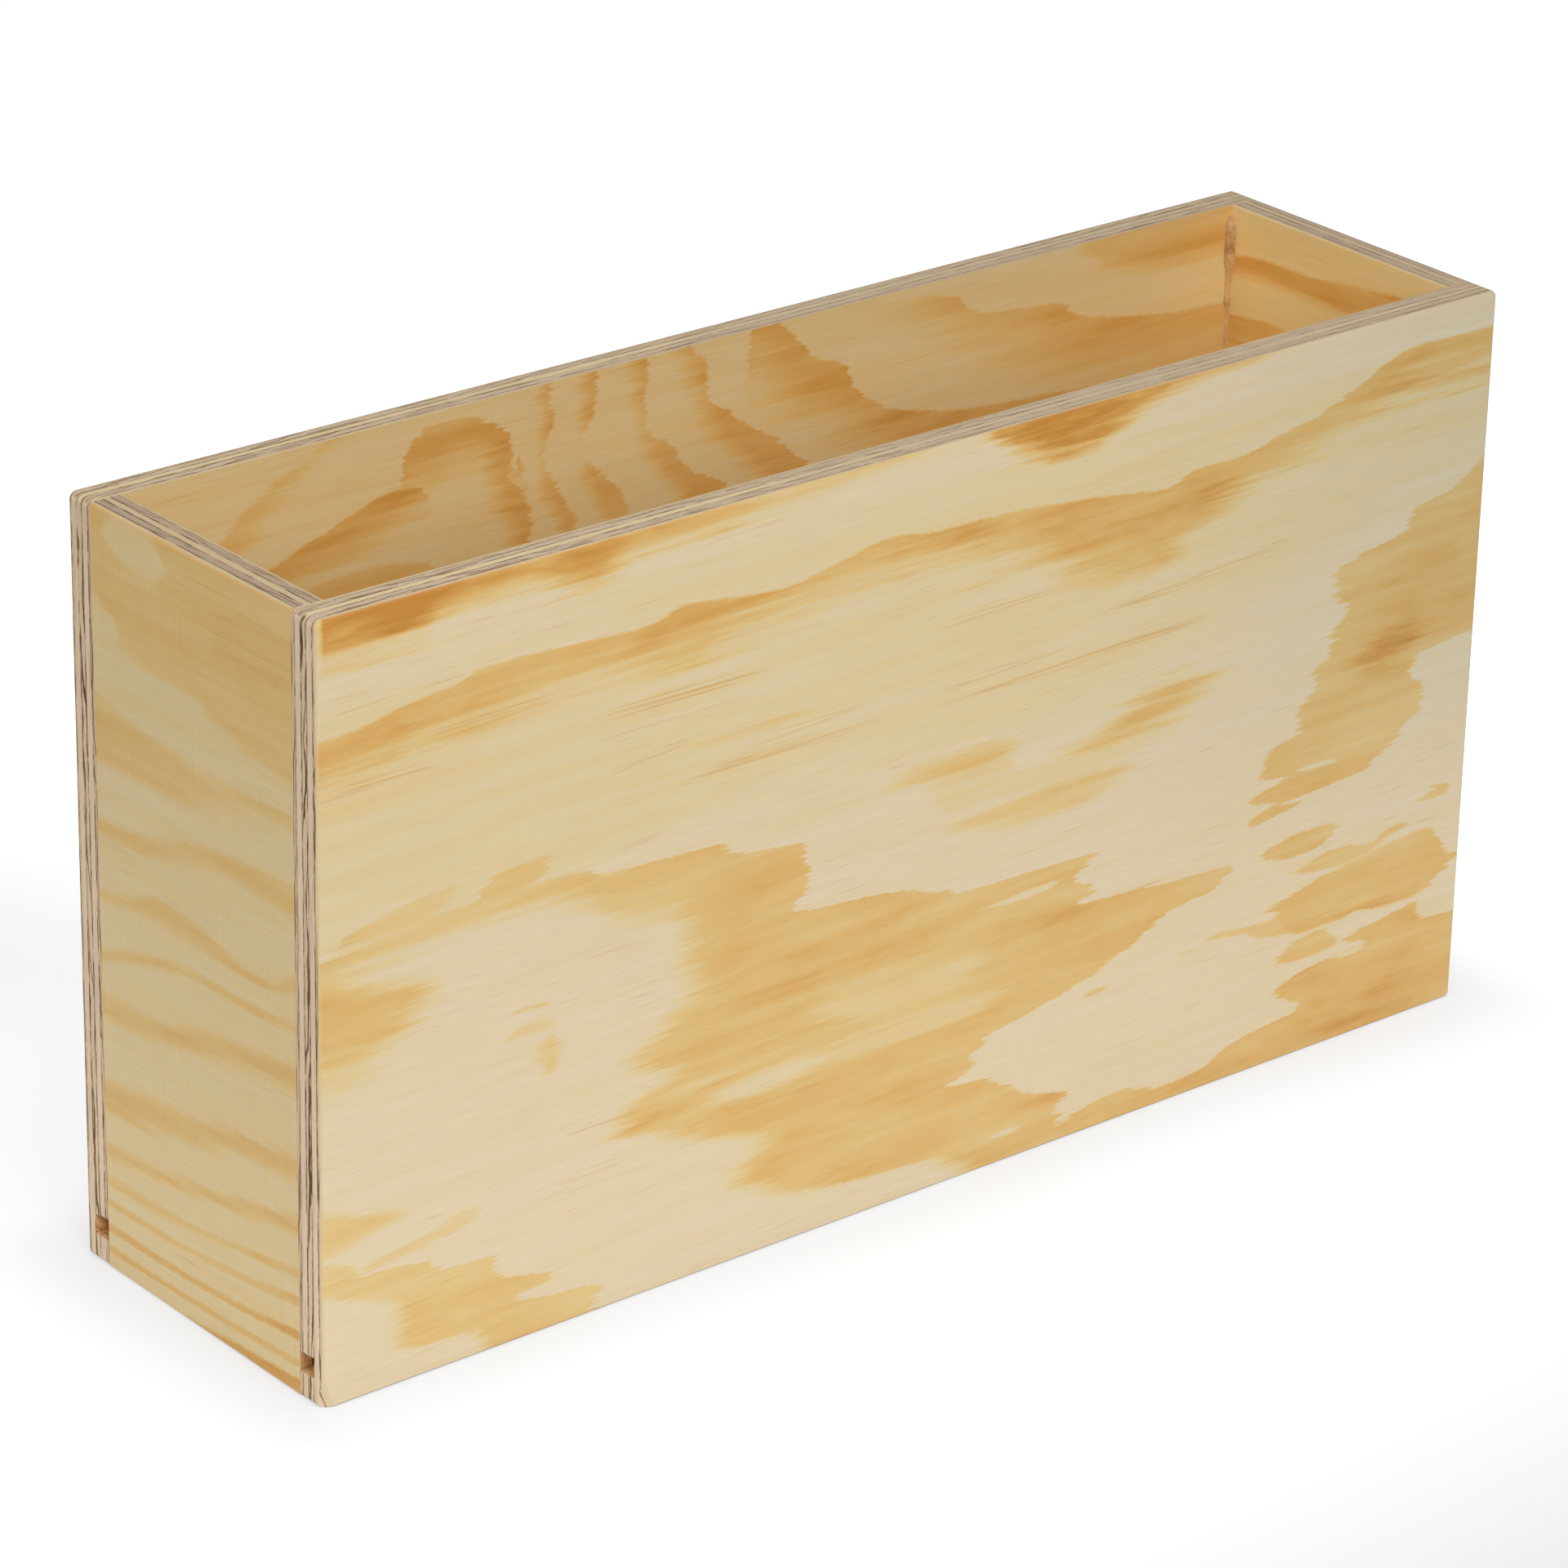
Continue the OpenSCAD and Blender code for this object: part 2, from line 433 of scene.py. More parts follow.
# a whole face's figure from its list of bands and streaks
def makeFigureGroup(name, figure):
    tree, given, made = newGroup(name, ["Along", "Across", "Seed"], ["Amber", "Streak"])
    grain = {label: given[label] for label in ("Along", "Across", "Seed")}
    teeth = useGroup(tree, teethGroup, {**grain, "Length": figure["teeth"]})
    comb = times(tree, teeth["Comb"], figure["comb"])
    amber, shallow, cleared = 0.0, 1.0, 1.0
    for part in figure["bands"]:
        source = grain if part["straight"] else teeth
        place, test, span, reach = source["Along"], source["Across"], figure["span"], figure["rise"]
        if part["upright"]:
            place, test, span, reach = test, place, reach, span
        mask = useGroup(tree, bandGroup, {
            "Place": test,
            "High": edgeLine(tree, place, part["high"], span, reach),
            "Low": edgeLine(tree, place, part["low"], span, reach),
            "High Soft": part["soft"][0],
            "Low Soft": part["soft"][1],
            "Amount": part["amount"],
            "Comb": 0.0 if part["straight"] else comb,
        })["Mask"]
        if part["kind"] == "amber":
            amber = calc(tree, "MAXIMUM", amber, mask)
        elif part["kind"] == "deep":
            shallow = times(tree, shallow, inverse(tree, mask))
        else:
            cleared = times(tree, cleared, inverse(tree, mask))
    deepened = inverse(tree, times(tree, inverse(tree, amber), shallow))
    feed(tree, made["Amber"], times(tree, deepened, cleared))
    fibre = grainLayers(tree, given["Along"], given["Across"], given["Seed"], brownStreak["layers"])["fibre"]
    fibre = smooth(tree, fibre, *brownStreak["fibre"])
    streaks = 0.0
    for start, end, low, high, strength in figure["streaks"]:
        mask = useGroup(tree, streakGroup, {
            "Along": given["Along"], "Across": given["Across"], "Fibre": fibre, "From": start, "To": end,
            "Low": low, "High": high, "Strength": strength,
        })["Mask"]
        streaks = calc(tree, "MAXIMUM", streaks, mask)
    feed(tree, made["Streak"], streaks)
    return tree


# front board, outer face: millimetres from the middle and from the base
frontFigure = {
    "span": (-220, 220),
    "rise": (-30, 225),
    "teeth": 16,
    "comb": 1.2,
    "bands": [
        # faint yellow over the upper half
        band([(-205, 176), (205, 190)], [(-205, 108), (60, 112), (120, 130), (205, 150)], (10, 16), 0.14),
        # long flame under the rim
        band([(-205, 166), (-180, 167), (-170, 167.3), (-160, 169), (-150, 170.6), (-142, 171),
              (-138, 172.8), (-130, 173.5), (-110, 173), (-92, 172), (-85, 172.6), (-79, 174.6),
              (-69, 173.6), (-48, 171.5), (-35, 173.5), (-15, 176.2), (-8, 175), (18, 173.8), (50, 171),
              (66, 168.6), (71, 168.4), (80, 171), (95, 171), (105, 173), (122, 176.5), (133, 180.5),
              (145, 185.5), (155, 187), (170, 186.5), (205, 185.5)],
             [(-205, 145), (-165, 147), (-150, 152), (-100, 153), (-80, 151), (-60, 155), (-20, 159),
              (10, 156), (30, 149), (50, 140), (66, 139), (80, 145), (95, 152), (115, 157), (135, 162),
              (155, 166), (205, 163)], (1.2, 16), 0.68),
        band([(-205, 158), (-165, 158), (-120, 155), (-70, 153)],
             [(-205, 138), (-165, 142), (-120, 148), (-70, 151)], (4, 8), 0.22),
        # streak along the rim, left
        band([(-205, 215), (0, 215)],
             [(-205, 180), (-160, 181), (-150, 182), (-146, 184.5), (-125, 185.5), (-117, 184), (-110, 182),
              (-103, 181.5), (-97, 183), (-91, 185.5), (-70, 186), (-55, 188.5), (-30, 190.5), (-8, 193),
              (0, 197)], (2, 8), 0.8),
        band([(-205, 215), (-136, 215)],
             [(-205, 183), (-160, 184.5), (-145, 189), (-136, 197)], (2, 9), 0.7, "deep"),
        band([(-117, 215), (-91, 215)],
             [(-117, 197), (-110, 187), (-103, 184), (-97, 188), (-91, 197)], (2, 9), 0.7, "deep"),
        # dark patch at the rim, right of the middle
        band([(6, 215), (120, 215)],
             [(6, 197), (13, 191), (18, 186.5), (24, 183.5), (32, 182), (40, 181.4), (46, 181.2),
              (52, 182.6), (60, 186), (66, 188), (75, 190), (95, 192.5), (120, 198)], (2, 6), 0.84),
        band([(20, 215), (62, 215)],
             [(20, 197), (28, 185), (35, 182), (45, 182), (52, 186), (62, 197)], (2, 8), 1.0, "deep"),
        # soft clouds in the pale middle
        band([(-16, 115), (0, 118), (14, 118), (28, 114)],
             [(-16, 110), (0, 106), (14, 104), (28, 108)], (7, 7), 0.5),
        band([(-4, 112), (8, 114), (24, 112)], [(-4, 104), (8, 96), (24, 100)], (6, 8), 0.28),
        band([(36, 108), (50, 112), (62, 117), (75, 120), (90, 118.5), (106, 114)],
             [(36, 103), (50, 101), (62, 100.5), (76, 102.5), (90, 107), (106, 111)], (8, 8), 0.66),
        band([(4, 106), (30, 107), (60, 108), (80, 104)],
             [(4, 100), (30, 97), (60, 98), (80, 101)], (5, 5), 0.25),
        band([(2, 98), (25, 100), (45, 101), (66, 98)],
             [(2, 93), (25, 90), (42, 89.5), (66, 93)], (5, 5), 0.46),
        band([(-82, 139), (-68, 139.6), (-52, 139.6), (-38, 138)],
             [(-82, 136.5), (-60, 133.5), (-38, 135.5)], (2, 5), 0.42),
        band([(-94, 134), (-60, 134.5), (-22, 133.5)],
             [(-94, 131), (-50, 128.5), (-22, 131)], (3, 3), 0.28),
        # big flame: tail to the left, then its body
        band([(-205, 113), (-180, 114), (-165, 115), (-150, 116.5), (-120, 117), (-106, 116.5), (-102, 114),
              (-92, 112.5), (-88, 110.5), (-79, 110), (-70, 111.5), (-64, 110.5)],
             [(-205, 102), (-170, 103), (-150, 105), (-120, 106), (-105, 102), (-92, 95), (-64, 92)],
             (1.6, 9), 0.52),
        band([(-176, 115), (-171, 119), (-160, 121), (-150, 122.5), (-140, 123)],
             [(-176, 112), (-160, 112), (-148, 115), (-140, 121)], (1.2, 3), 0.36),
        band([(-136, 118), (-130, 122), (-114, 123)],
             [(-136, 112), (-122, 113), (-114, 121)], (1.2, 3), 0.42),
        band([(-20, 45), (5, 44), (8.5, 43.5), (11, 44), (13, 46), (14, 42), (16, 36), (18, 30), (20, 28),
              (22, 23), (24.5, 20), (25.5, 12), (26.3, 6.5), (28, 13), (30, 15), (32, 14), (34, 18),
              (35.5, 18), (37, 22), (38.5, 33), (40, 40), (41, 46), (42.5, 52), (44.5, 58), (46.5, 64),
              (49.5, 70), (52, 75), (53.5, 80), (54, 88), (55, 93), (57.5, 97), (60, 101), (60.7, 90),
              (61.2, 76), (62, 70), (63.3, 60), (64, 46), (65, 49), (66, 54), (68, 52), (70, 47), (72, 46),
              (74, 50), (77, 53), (77.6, 9), (79, 6), (80.5, 0), (82.5, -6), (84, -13), (85, -20),
              (85.8, -30), (86.4, -40), (89, -43.4), (91.4, -39.4), (95.4, -38.3), (101, -40), (105, -41),
              (106, -58), (108, -61), (111, -64.5), (112, -90)],
             [(-20, 6), (3, 4), (7, -2), (9, -18), (11, -42), (13, -52), (17, -60), (22, -66), (28, -61),
              (32, -63), (35, -76), (41, -91), (46, -101), (51, -96), (55, -87), (60, -96), (65, -95),
              (72, -84), (86, -82), (97, -87), (105, -92), (108, -99), (112, -104)],
             (1.4, 14), 0.57, upright=True),
        # right flame
        band([(69, 108), (70, 116), (71.5, 122), (72.5, 113), (73.2, 125), (74, 144), (77, 148),
              (79.5, 154), (83, 157), (85, 161), (87, 163), (92, 163), (95, 161.5), (98, 158), (100.5, 160),
              (102, 163.5), (103, 170), (104, 182), (106, 205), (154, 215)],
             [(69, 104), (70, 102.5), (71.5, 106), (73, 110), (75.5, 103), (78, 107), (79.5, 117),
              (80.5, 107), (81.5, 104), (83.5, 108), (85.5, 106.5), (88, 108.5), (89.5, 113), (91, 119),
              (94, 118.5), (97.5, 117.5), (100, 121), (103, 123), (106.5, 122.5), (108.5, 125),
              (110.5, 128), (114, 128), (117.5, 130), (119.5, 133), (122.5, 131), (126, 128.5),
              (129.5, 127.5), (132, 129), (133.5, 134), (135, 140), (136, 147), (137, 152), (140, 152.5),
              (143, 155), (143.6, 163), (146, 170), (149, 174), (151, 180), (154, 205)],
             (1.4, 2.4), 0.54, upright=True),
        band([(128, 105), (138, 111), (147, 114), (156, 112), (166, 106)],
             [(128, 105), (138, 101), (147, 99.5), (156, 101), (166, 106)], (7, 7), 0.62, "deep"),
        band([(140, 124), (160, 140), (172, 148), (205, 160)],
             [(140, 116), (160, 106), (205, 98)], (16, 10), 0.24, "deep"),
        # islands and patches below it
        band([(107, 60), (112, 61.6), (120, 63), (130, 63.2), (137, 61.6)],
             [(107, 59.6), (110, 58.2), (116, 56), (125, 55.8), (133, 58.6), (137, 61)], (1, 1), 0.58),
        band([(150, 57), (163, 60.4), (166, 61.6), (170, 64), (175.5, 61)],
             [(150, 56.6), (163, 59.4), (172, 59.2), (175.5, 60.6)], (1, 1), 0.55),
        band([(110, 43.8), (116, 45.5), (121, 46.5), (127, 48), (135, 49.6), (145, 50.6), (155, 51.6),
              (165, 52.2), (170, 51), (172, 48.5), (173.5, 45.5), (174.5, 43), (182, 42.4), (205, 42)],
             [(110, 43.4), (113, 42.4), (120, 34.8), (130, 33.2), (138, 33.2), (143, 34.2), (150, 33),
              (160, 32.6), (168, 33.4), (172, 35.5), (176, 38.5), (182, 40.5), (205, 40.5)],
             (1.2, 1.2), 0.58),
        band([(90, 41), (95, 43), (100, 42.6), (108, 41.6), (122, 41)],
             [(90, 40.6), (96, 40), (104, 38.6), (109, 36.4), (122, 34.6)], (1, 1), 0.5),
        band([(118, 52.4), (124, 53.2), (133, 55), (140, 54.6), (147, 53.2), (152, 55.4), (158, 56.2),
              (160, 54.5)],
             [(118, 51.8), (126, 50.4), (136, 49), (146, 49.5), (150, 51.2), (156, 53.2), (160, 54)],
             (1, 1), 0.5),
        band([(116, 28), (118, 31.2), (123, 33), (130, 33.8), (134, 32), (137, 28.5)],
             [(116, 27.5), (122, 26), (130, 25.8), (137, 27)], (1, 1), 0.52),
        band([(-20, 205), (24, 205), (24.8, 182), (25.5, 168), (28, 168), (30, 167), (31.6, 165)],
             [(-20, 40), (4, 43), (4.6, 86), (6, 92), (8.8, 98), (10.5, 105), (11, 113), (12, 120),
              (13.5, 125), (14.5, 122), (16, 119), (18.5, 117), (20.5, 115), (22, 120), (23.5, 126),
              (24.6, 140), (25.5, 146), (27, 138), (28, 139), (29, 146), (30, 153), (31.6, 163)],
             (2, 2), 0.66, upright=True),
        band([(42, 4), (50, 6.5), (56, 8), (65, 8.5), (70, 7.2), (76, 4.5)],
             [(42, 2), (60, 2), (76, 2)], (1, 1), 0.56),
        # lower left
        band([(-20, -100), (3, -101), (7, -100), (8.5, -112), (11.5, -124), (13, -113), (16.6, -121),
              (19.4, -130), (25, -130), (26, -147), (29, -150), (31.5, -172)],
             [(-20, -138), (6, -139), (8, -156), (12.6, -163), (19.4, -162), (25, -172), (29, -183),
              (31.5, -205)], (1.8, 7), 0.46, upright=True),
        band([(-205, 55), (-180, 52), (-170, 49), (-160, 46), (-155, 44)],
             [(-205, 36), (-178, 37), (-170, 38.5), (-155, 42)], (3, 3), 0.4),
        band([(-205, 42), (-178, 38), (-170, 34)], [(-205, 26), (-178, 28), (-170, 31)], (2, 2), 0.36),
        band([(-170, 33), (-160, 35.5), (-150, 37), (-140, 40), (-135, 39)],
             [(-170, 31.5), (-160, 32), (-148, 33), (-138, 35), (-135, 37)], (1.6, 1.6), 0.32),
        band([(-205, 114), (-180, 112), (-165, 108), (-146, 103)],
             [(-205, 76), (-175, 77), (-165, 80), (-146, 94)], (8, 14), 0.62),
        band([(-124, 86.5), (-117, 86)], [(-124, 84), (-117, 83.5)], (1.4, 1.4), 0.4),
        band([(-125, 82), (-115, 81.5)], [(-125, 77), (-115, 77)], (2, 2), 0.3),
        band([(67, -113), (73, -111), (77, -112)],
             [(67, -119), (73, -122), (77, -116)], (3, 5), 0.4, upright=True),
        band([(49, 38.2), (54, 39.2), (59, 38.4)], [(49, 37.6), (54, 36.8), (59, 37.8)], (0.7, 0.7), 0.4),
        band([(81, 40.4), (85, 41), (89, 40.4)], [(81, 39.8), (85, 39), (89, 39.8)], (0.7, 0.7), 0.4),
        # paler places inside the flames
        band([(-40, 61), (-20, 66), (0, 66), (20, 60)],
             [(-40, 56), (-20, 49), (0, 48), (20, 55)], (9, 8), 0.5, "pale"),
        band([(-80, 50), (-60, 52), (-40, 52.5), (-10, 53), (12, 52), (30, 47)],
             [(-80, 44), (-50, 39), (-30, 40), (-10, 40), (10, 41), (30, 45)], (7, 6), 0.55, "pale"),
        band([(-68, 47.5), (-50, 49.5), (-30, 47)],
             [(-68, 44), (-50, 41.5), (-30, 44)], (3, 3), 0.7, "pale"),
        band([(12, 71.8), (20, 72), (30, 72.9), (43, 72.7)],
             [(12, 71.3), (20, 70.2), (32, 69.8), (43, 72)], (0.8, 1), 0.9, "pale"),
        band([(21, 8), (26, 8.9), (31, 8.1)], [(21, 7.5), (26, 6.8), (31, 7.6)], (0.7, 0.7), 0.8, "pale"),
        band([(119, 81), (126, 81.4), (134, 80)],
             [(119, 80.4), (126, 79), (134, 79)], (0.8, 0.8), 0.85, "pale"),
        band([(136, 26.4), (146, 26.4)], [(136, 23), (141, 22.4), (146, 23)], (0.8, 0.8), 0.9, "pale"),
        # sanded strip at the left margin
        band([(-25, -176.5), (5, -177.5), (14, -179.5), (150, -179.5), (164, -179), (172, -178),
              (190, -177.5), (220, -177.5)],
             [(-25, -205), (220, -205)], (1.6, 2), 0.6, "pale", upright=True, straight=True),
    ],
    # brown streaks: from, to, height at each end, strength
    "streaks": [
        (-152, -112, 161, 161.5, 0.5), (-176, -146, 153, 152.5, 0.45), (-108, -48, 152.5, 151.5, 0.55),
        (-106, -54, 146.5, 146.5, 0.35), (-100, -74, 137, 139.5, 0.5), (-62, -22, 133, 135, 0.5),
        (-82, -14, 130, 130.5, 0.55), (-4, 38, 148.5, 149.5, 0.5), (42, 120, 139.5, 144.5, 0.45),
        (-2, 46, 132, 134, 0.45), (0, 90, 129, 131, 0.6), (-106, -84, 93, 92, 0.35),
        (-114, -88, 49, 49.5, 0.4), (-116, -92, 37, 37, 0.4),
    ],
}

# left end board, outer face: millimetres from the middle, back to front, and from the base
leftFigure = {
    "span": (-80, 80),
    "rise": (-30, 225),
    "teeth": 8,
    "comb": 1.0,
    "bands": [
        band([(-60, 215), (60, 215)],
             [(-60, 174), (-40, 169), (-33, 163), (-20, 160), (0, 159), (10, 155), (38, 151), (60, 149)],
             (1, 5), 0.38),
        band([(-36, 190), (-28, 197), (-18, 197), (-8, 188)],
             [(-36, 188), (-26, 182), (-16, 181), (-8, 187)], (4, 4), 0.9, "pale"),
        band([(-60, 178), (-38, 176), (-30, 170)], [(-60, 160), (-30, 162)], (4, 4), 0.9, "pale"),
        band([(-60, 152), (-40, 150.5), (-25, 148), (-10, 146), (8, 144), (20, 145), (40, 147), (60, 149)],
             [(-60, 129), (-20, 130), (0, 132), (20, 136), (60, 139)], (3, 6), 0.36),
        band([(-60, 118), (-40, 119), (-20, 121), (0, 126), (15, 128), (60, 131)],
             [(-60, 110), (-40, 111), (-20, 113), (0, 117), (15, 119), (60, 119)], (3, 5), 0.38),
        band([(-60, 100), (-40, 100.5), (-25, 103.5), (-15, 107), (0, 106.5), (20, 103), (30, 103),
              (40, 109), (60, 114)],
             [(-60, 95), (-40, 95.5), (-15, 98), (0, 98), (20, 97), (30, 98), (40, 101.5), (60, 107)],
             (3, 3), 0.4),
        band([(-60, 81), (-40, 85), (-20, 91), (0, 94), (20, 95), (60, 99)],
             [(-60, 75), (-40, 79), (-20, 85), (0, 89), (20, 89.5), (60, 93)], (3, 3), 0.44),
        band([(-60, 74), (-15, 76.5), (0, 80.5), (20, 84), (60, 88)],
             [(-60, 63), (-15, 66), (0, 70), (20, 73), (60, 76)], (5, 5), 0.46),
        band([(-60, 52), (-40, 53), (-20, 56), (0, 58), (20, 61), (60, 67)],
             [(-60, 39), (-20, 42), (0, 46), (20, 51), (60, 55)], (6, 5), 0.44),
        band([(-60, 34), (-40, 35), (0, 39.5), (20, 44), (60, 52)],
             [(-60, 27.5), (-40, 28.5), (0, 33), (20, 36.5), (60, 44)], (3.5, 3.5), 0.46),
        band([(-60, 23.5), (0, 27.5), (40, 34), (60, 37)],
             [(-60, 20.5), (0, 24.5), (40, 30), (60, 33)], (1.4, 1.4), 0.36),
        band([(-60, 17.5), (0, 21), (40, 26.5), (60, 29)],
             [(-60, 15), (0, 18), (40, 22.5), (60, 25)], (1.2, 1.2), 0.45),
        band([(-60, 12), (0, 13.5), (40, 17.5), (60, 20)],
             [(-60, 9), (0, 10.5), (40, 14), (60, 16)], (1.4, 0.8), 0.62),
        band([(-60, 5.5), (0, 7.5), (40, 10), (60, 11.5)],
             [(-60, 3.5), (0, 5), (40, 7), (60, 8.5)], (1, 0.8), 0.55),
        band([(-60, -5), (-5, 1.5), (15, 3.5), (60, 5.5)], [(-60, -12), (60, -12)], (1.6, 1), 0.8),
    ],
    "streaks": [
        (-6, 44, 181, 180, 0.3), (10, 46, 186, 185, 0.25), (4, 44, 176.5, 175.5, 0.3),
        (-10, 18, 107, 106.5, 0.2),
    ],
}

# back board, inner face: only the strip below the rim shows, the bands go on downwards
backInnerFigure = {
    "span": (-220, 220),
    "rise": (-30, 225),
    "teeth": 9,
    "comb": 0.8,
    "bands": [
        # left of the arch
        band([(-165, 172), (-147, 177), (-138, 184), (-128, 190), (-117, 195), (-100, 205)],
             [(-165, 158), (-147, 162), (-138, 168), (-128, 178), (-117, 186), (-100, 196)], (3, 12), 0.5),
        # the arch and its tail
        band([(-150, 160), (-127, 169), (-117, 172.5), (-106, 176), (-96, 178.5), (-88, 178)],
             [(-150, 148), (-127, 154), (-106, 160), (-88, 168)], (1.2, 12), 0.66),
        band([(-94, 178), (-93, 185), (-90, 190), (-84, 192.5), (-76, 192.5), (-68, 190), (-62, 185.5),
              (-59, 180), (-61, 177), (-60, 174)],
             [(-94, 174), (-86, 174), (-76, 176), (-68, 174), (-60, 166)], (1.2, 13), 0.72),
        band([(0, -40), (110, -48), (156, -54.5), (163, -54), (169, -57), (175, -61), (180, -60)],
             [(0, -60), (110, -66), (156, -66), (169, -70), (180, -74)], (1.6, 10), 0.66, upright=True),
        band([(-124, 158), (-118, 160.5), (-105, 161), (-93, 160), (-84, 157)],
             [(-124, 150), (-105, 146), (-84, 150)], (1.4, 8), 0.55),
        # rings to the right of it, each sharp on its right
        band([(0, -22), (110, -34), (156, -40.5), (165, -45), (171, -48.5), (177, -51), (185, -48),
              (190, -48.5), (215, -58)],
             [(0, -40), (110, -46), (156, -49), (171, -55), (190, -55), (215, -64)],
             (1.2, 6), 0.62, upright=True),
        band([(0, 2), (110, -14), (156, -25.5), (162, -27), (166, -31), (171, -36), (176, -40), (184, -36),
              (190, -35), (215, -42)],
             [(0, -20), (110, -26), (156, -36), (171, -43), (190, -43), (215, -50)],
             (1.2, 7), 0.64, upright=True),
        band([(0, 40), (110, 24), (156, 6), (160, -1), (165, -8.5), (170, -11), (175, -18), (180, -20),
              (190, -20), (215, -25)],
             [(0, 12), (110, 2), (156, -14), (170, -24), (190, -29), (215, -34)],
             (1.2, 9), 0.66, upright=True),
        band([(0, 84), (110, 56), (156, 31), (160, 26), (165, 21), (171, 11), (177, 4), (180, -1),
              (189, -1), (194, -6), (215, -12)],
             [(0, 50), (110, 30), (156, 8), (171, -6), (189, -14), (215, -22)],
             (1.2, 12), 0.66, upright=True),
        band([(14, 210), (21, 195), (26, 191), (31, 185), (43, 179), (44, 175), (49, 170), (61, 164),
              (79, 160), (114, 157), (205, 150)],
             [(14, 172), (24, 162), (43, 150), (61, 142), (79, 138), (114, 132), (205, 124)],
             (1.2, 24), 0.7),
        band([(44, 205), (51, 195), (69, 192.5), (80, 189), (82, 186), (98, 182.5), (113, 181),
              (117, 177.5), (129, 174), (151, 170.5), (171, 169), (205, 167)],
             [(44, 188), (69, 174), (82, 165), (98, 158), (117, 150), (151, 142), (205, 138)],
             (1.2, 26), 0.56),
        band([(112, 210), (205, 210)],
             [(112, 196), (122, 188), (135, 182), (160, 179), (205, 178)], (2, 7), 0.5),
        # out of the photo's sight
        band([(-205, 130), (-140, 132), (-100, 128), (-84, 112)],
             [(-205, 112), (-140, 112), (-84, 98)], (2, 14), 0.6),
        band([(-205, 84), (-140, 88), (-100, 84), (-78, 60)],
             [(-205, 66), (-140, 68), (-78, 44)], (2, 14), 0.6),
        band([(-205, 40), (-140, 42), (-100, 34), (-80, 14)],
             [(-205, 26), (-140, 26), (-80, 2)], (2, 12), 0.6),
        band([(74, 104), (100, 114), (140, 116), (205, 110)],
             [(74, 92), (100, 92), (205, 88)], (2, 16), 0.6),
        band([(92, 56), (120, 66), (205, 68)], [(92, 44), (120, 46), (205, 48)], (2, 14), 0.6),
        band([(106, 14), (130, 24), (205, 28)], [(106, 6), (130, 8), (205, 12)], (2, 12), 0.6),
    ],
    "streaks": [],
}

# right end board, inner face
rightInnerFigure = {
    "span": (-80, 80),
    "rise": (-30, 225),
    "teeth": 8,
    "comb": 0.5,
    "bands": [
        band([(-60, 180), (-39, 182.5), (-20, 184.5), (-10, 184.5), (0, 186), (11, 187), (21, 188),
              (60, 192)],
             [(-60, 171), (-39, 173.5), (-20, 175), (0, 174.5), (20, 178), (60, 181)], (1.4, 6), 0.68),
        band([(-60, 164), (-39, 166), (-31, 167), (-23, 168), (-10, 167), (20, 171), (60, 175)],
             [(-60, 146), (-39, 150), (0, 153), (60, 160)], (1.4, 13), 0.7),
        band([(-60, 138), (0, 143), (60, 148)], [(-60, 124), (0, 130), (60, 135)], (1.6, 10), 0.6),
        band([(-60, 106), (0, 113), (60, 112)], [(-60, 96), (0, 102), (60, 103)], (1.6, 8), 0.6),
        band([(-60, 80), (0, 84), (60, 90)], [(-60, 70), (0, 75), (60, 81)], (1.6, 7), 0.6),
        band([(-60, 54), (0, 58), (60, 61)], [(-60, 46), (0, 50), (60, 53)], (1.6, 5), 0.6),
        band([(-60, 31), (0, 33), (60, 37)], [(-60, 26), (0, 28), (60, 32)], (1.4, 4), 0.6),
    ],
    "streaks": [],
}

figureGroups = {
    "front": makeFigureGroup("frontFigure", frontFigure),
    "leftEnd": makeFigureGroup("leftEndFigure", leftFigure),
    "backInner": makeFigureGroup("backInnerFigure", backInnerFigure),
    "rightInner": makeFigureGroup("rightInnerFigure", rightInnerFigure),
}

# growth rings of faces that the photo doesn't show: each ring fades in and ends in a sharp edge
growthRings = {
    "teeth": 20.0,
    "bend": (0.0055, 0.013, 1.5, 0.5),
    "patchSeed": 3,
    "patches": (0.006, 0.02, 1, 0.5),
    "swell": 2.2,
    "edge": (0.94, 0.995, 1, 0),
    "seen": (0.32, 0.58, 0, 0.7),
}


def makeRingGroup():
    rings = growthRings
    tree, given, made = newGroup("ringFigure", ["Along", "Across", "Seed", "Pitch", "Sway"], ["Amber"])
    along, across, seed = given["Along"], given["Across"], given["Seed"]
    teeth = useGroup(tree, teethGroup, {
        "Along": along, "Across": across, "Seed": seed, "Length": rings["teeth"],
    })
    bend = grainNoise(tree, teeth["Along"], teeth["Across"], seed, *rings["bend"])
    ring = scaled(tree, bend, given["Sway"], calc(tree, "DIVIDE", teeth["Across"], given["Pitch"]))
    share = calc(tree, "FRACT", ring)
    swell = calc(tree, "POWER", share, rings["swell"])
    patches = grainNoise(tree, along, across, plus(tree, seed, rings["patchSeed"]), *rings["patches"])
    amber = times(tree, swell, smooth(tree, share, *rings["edge"]), smooth(tree, patches, *rings["seen"]))
    feed(tree, made["Amber"], amber)
    return tree


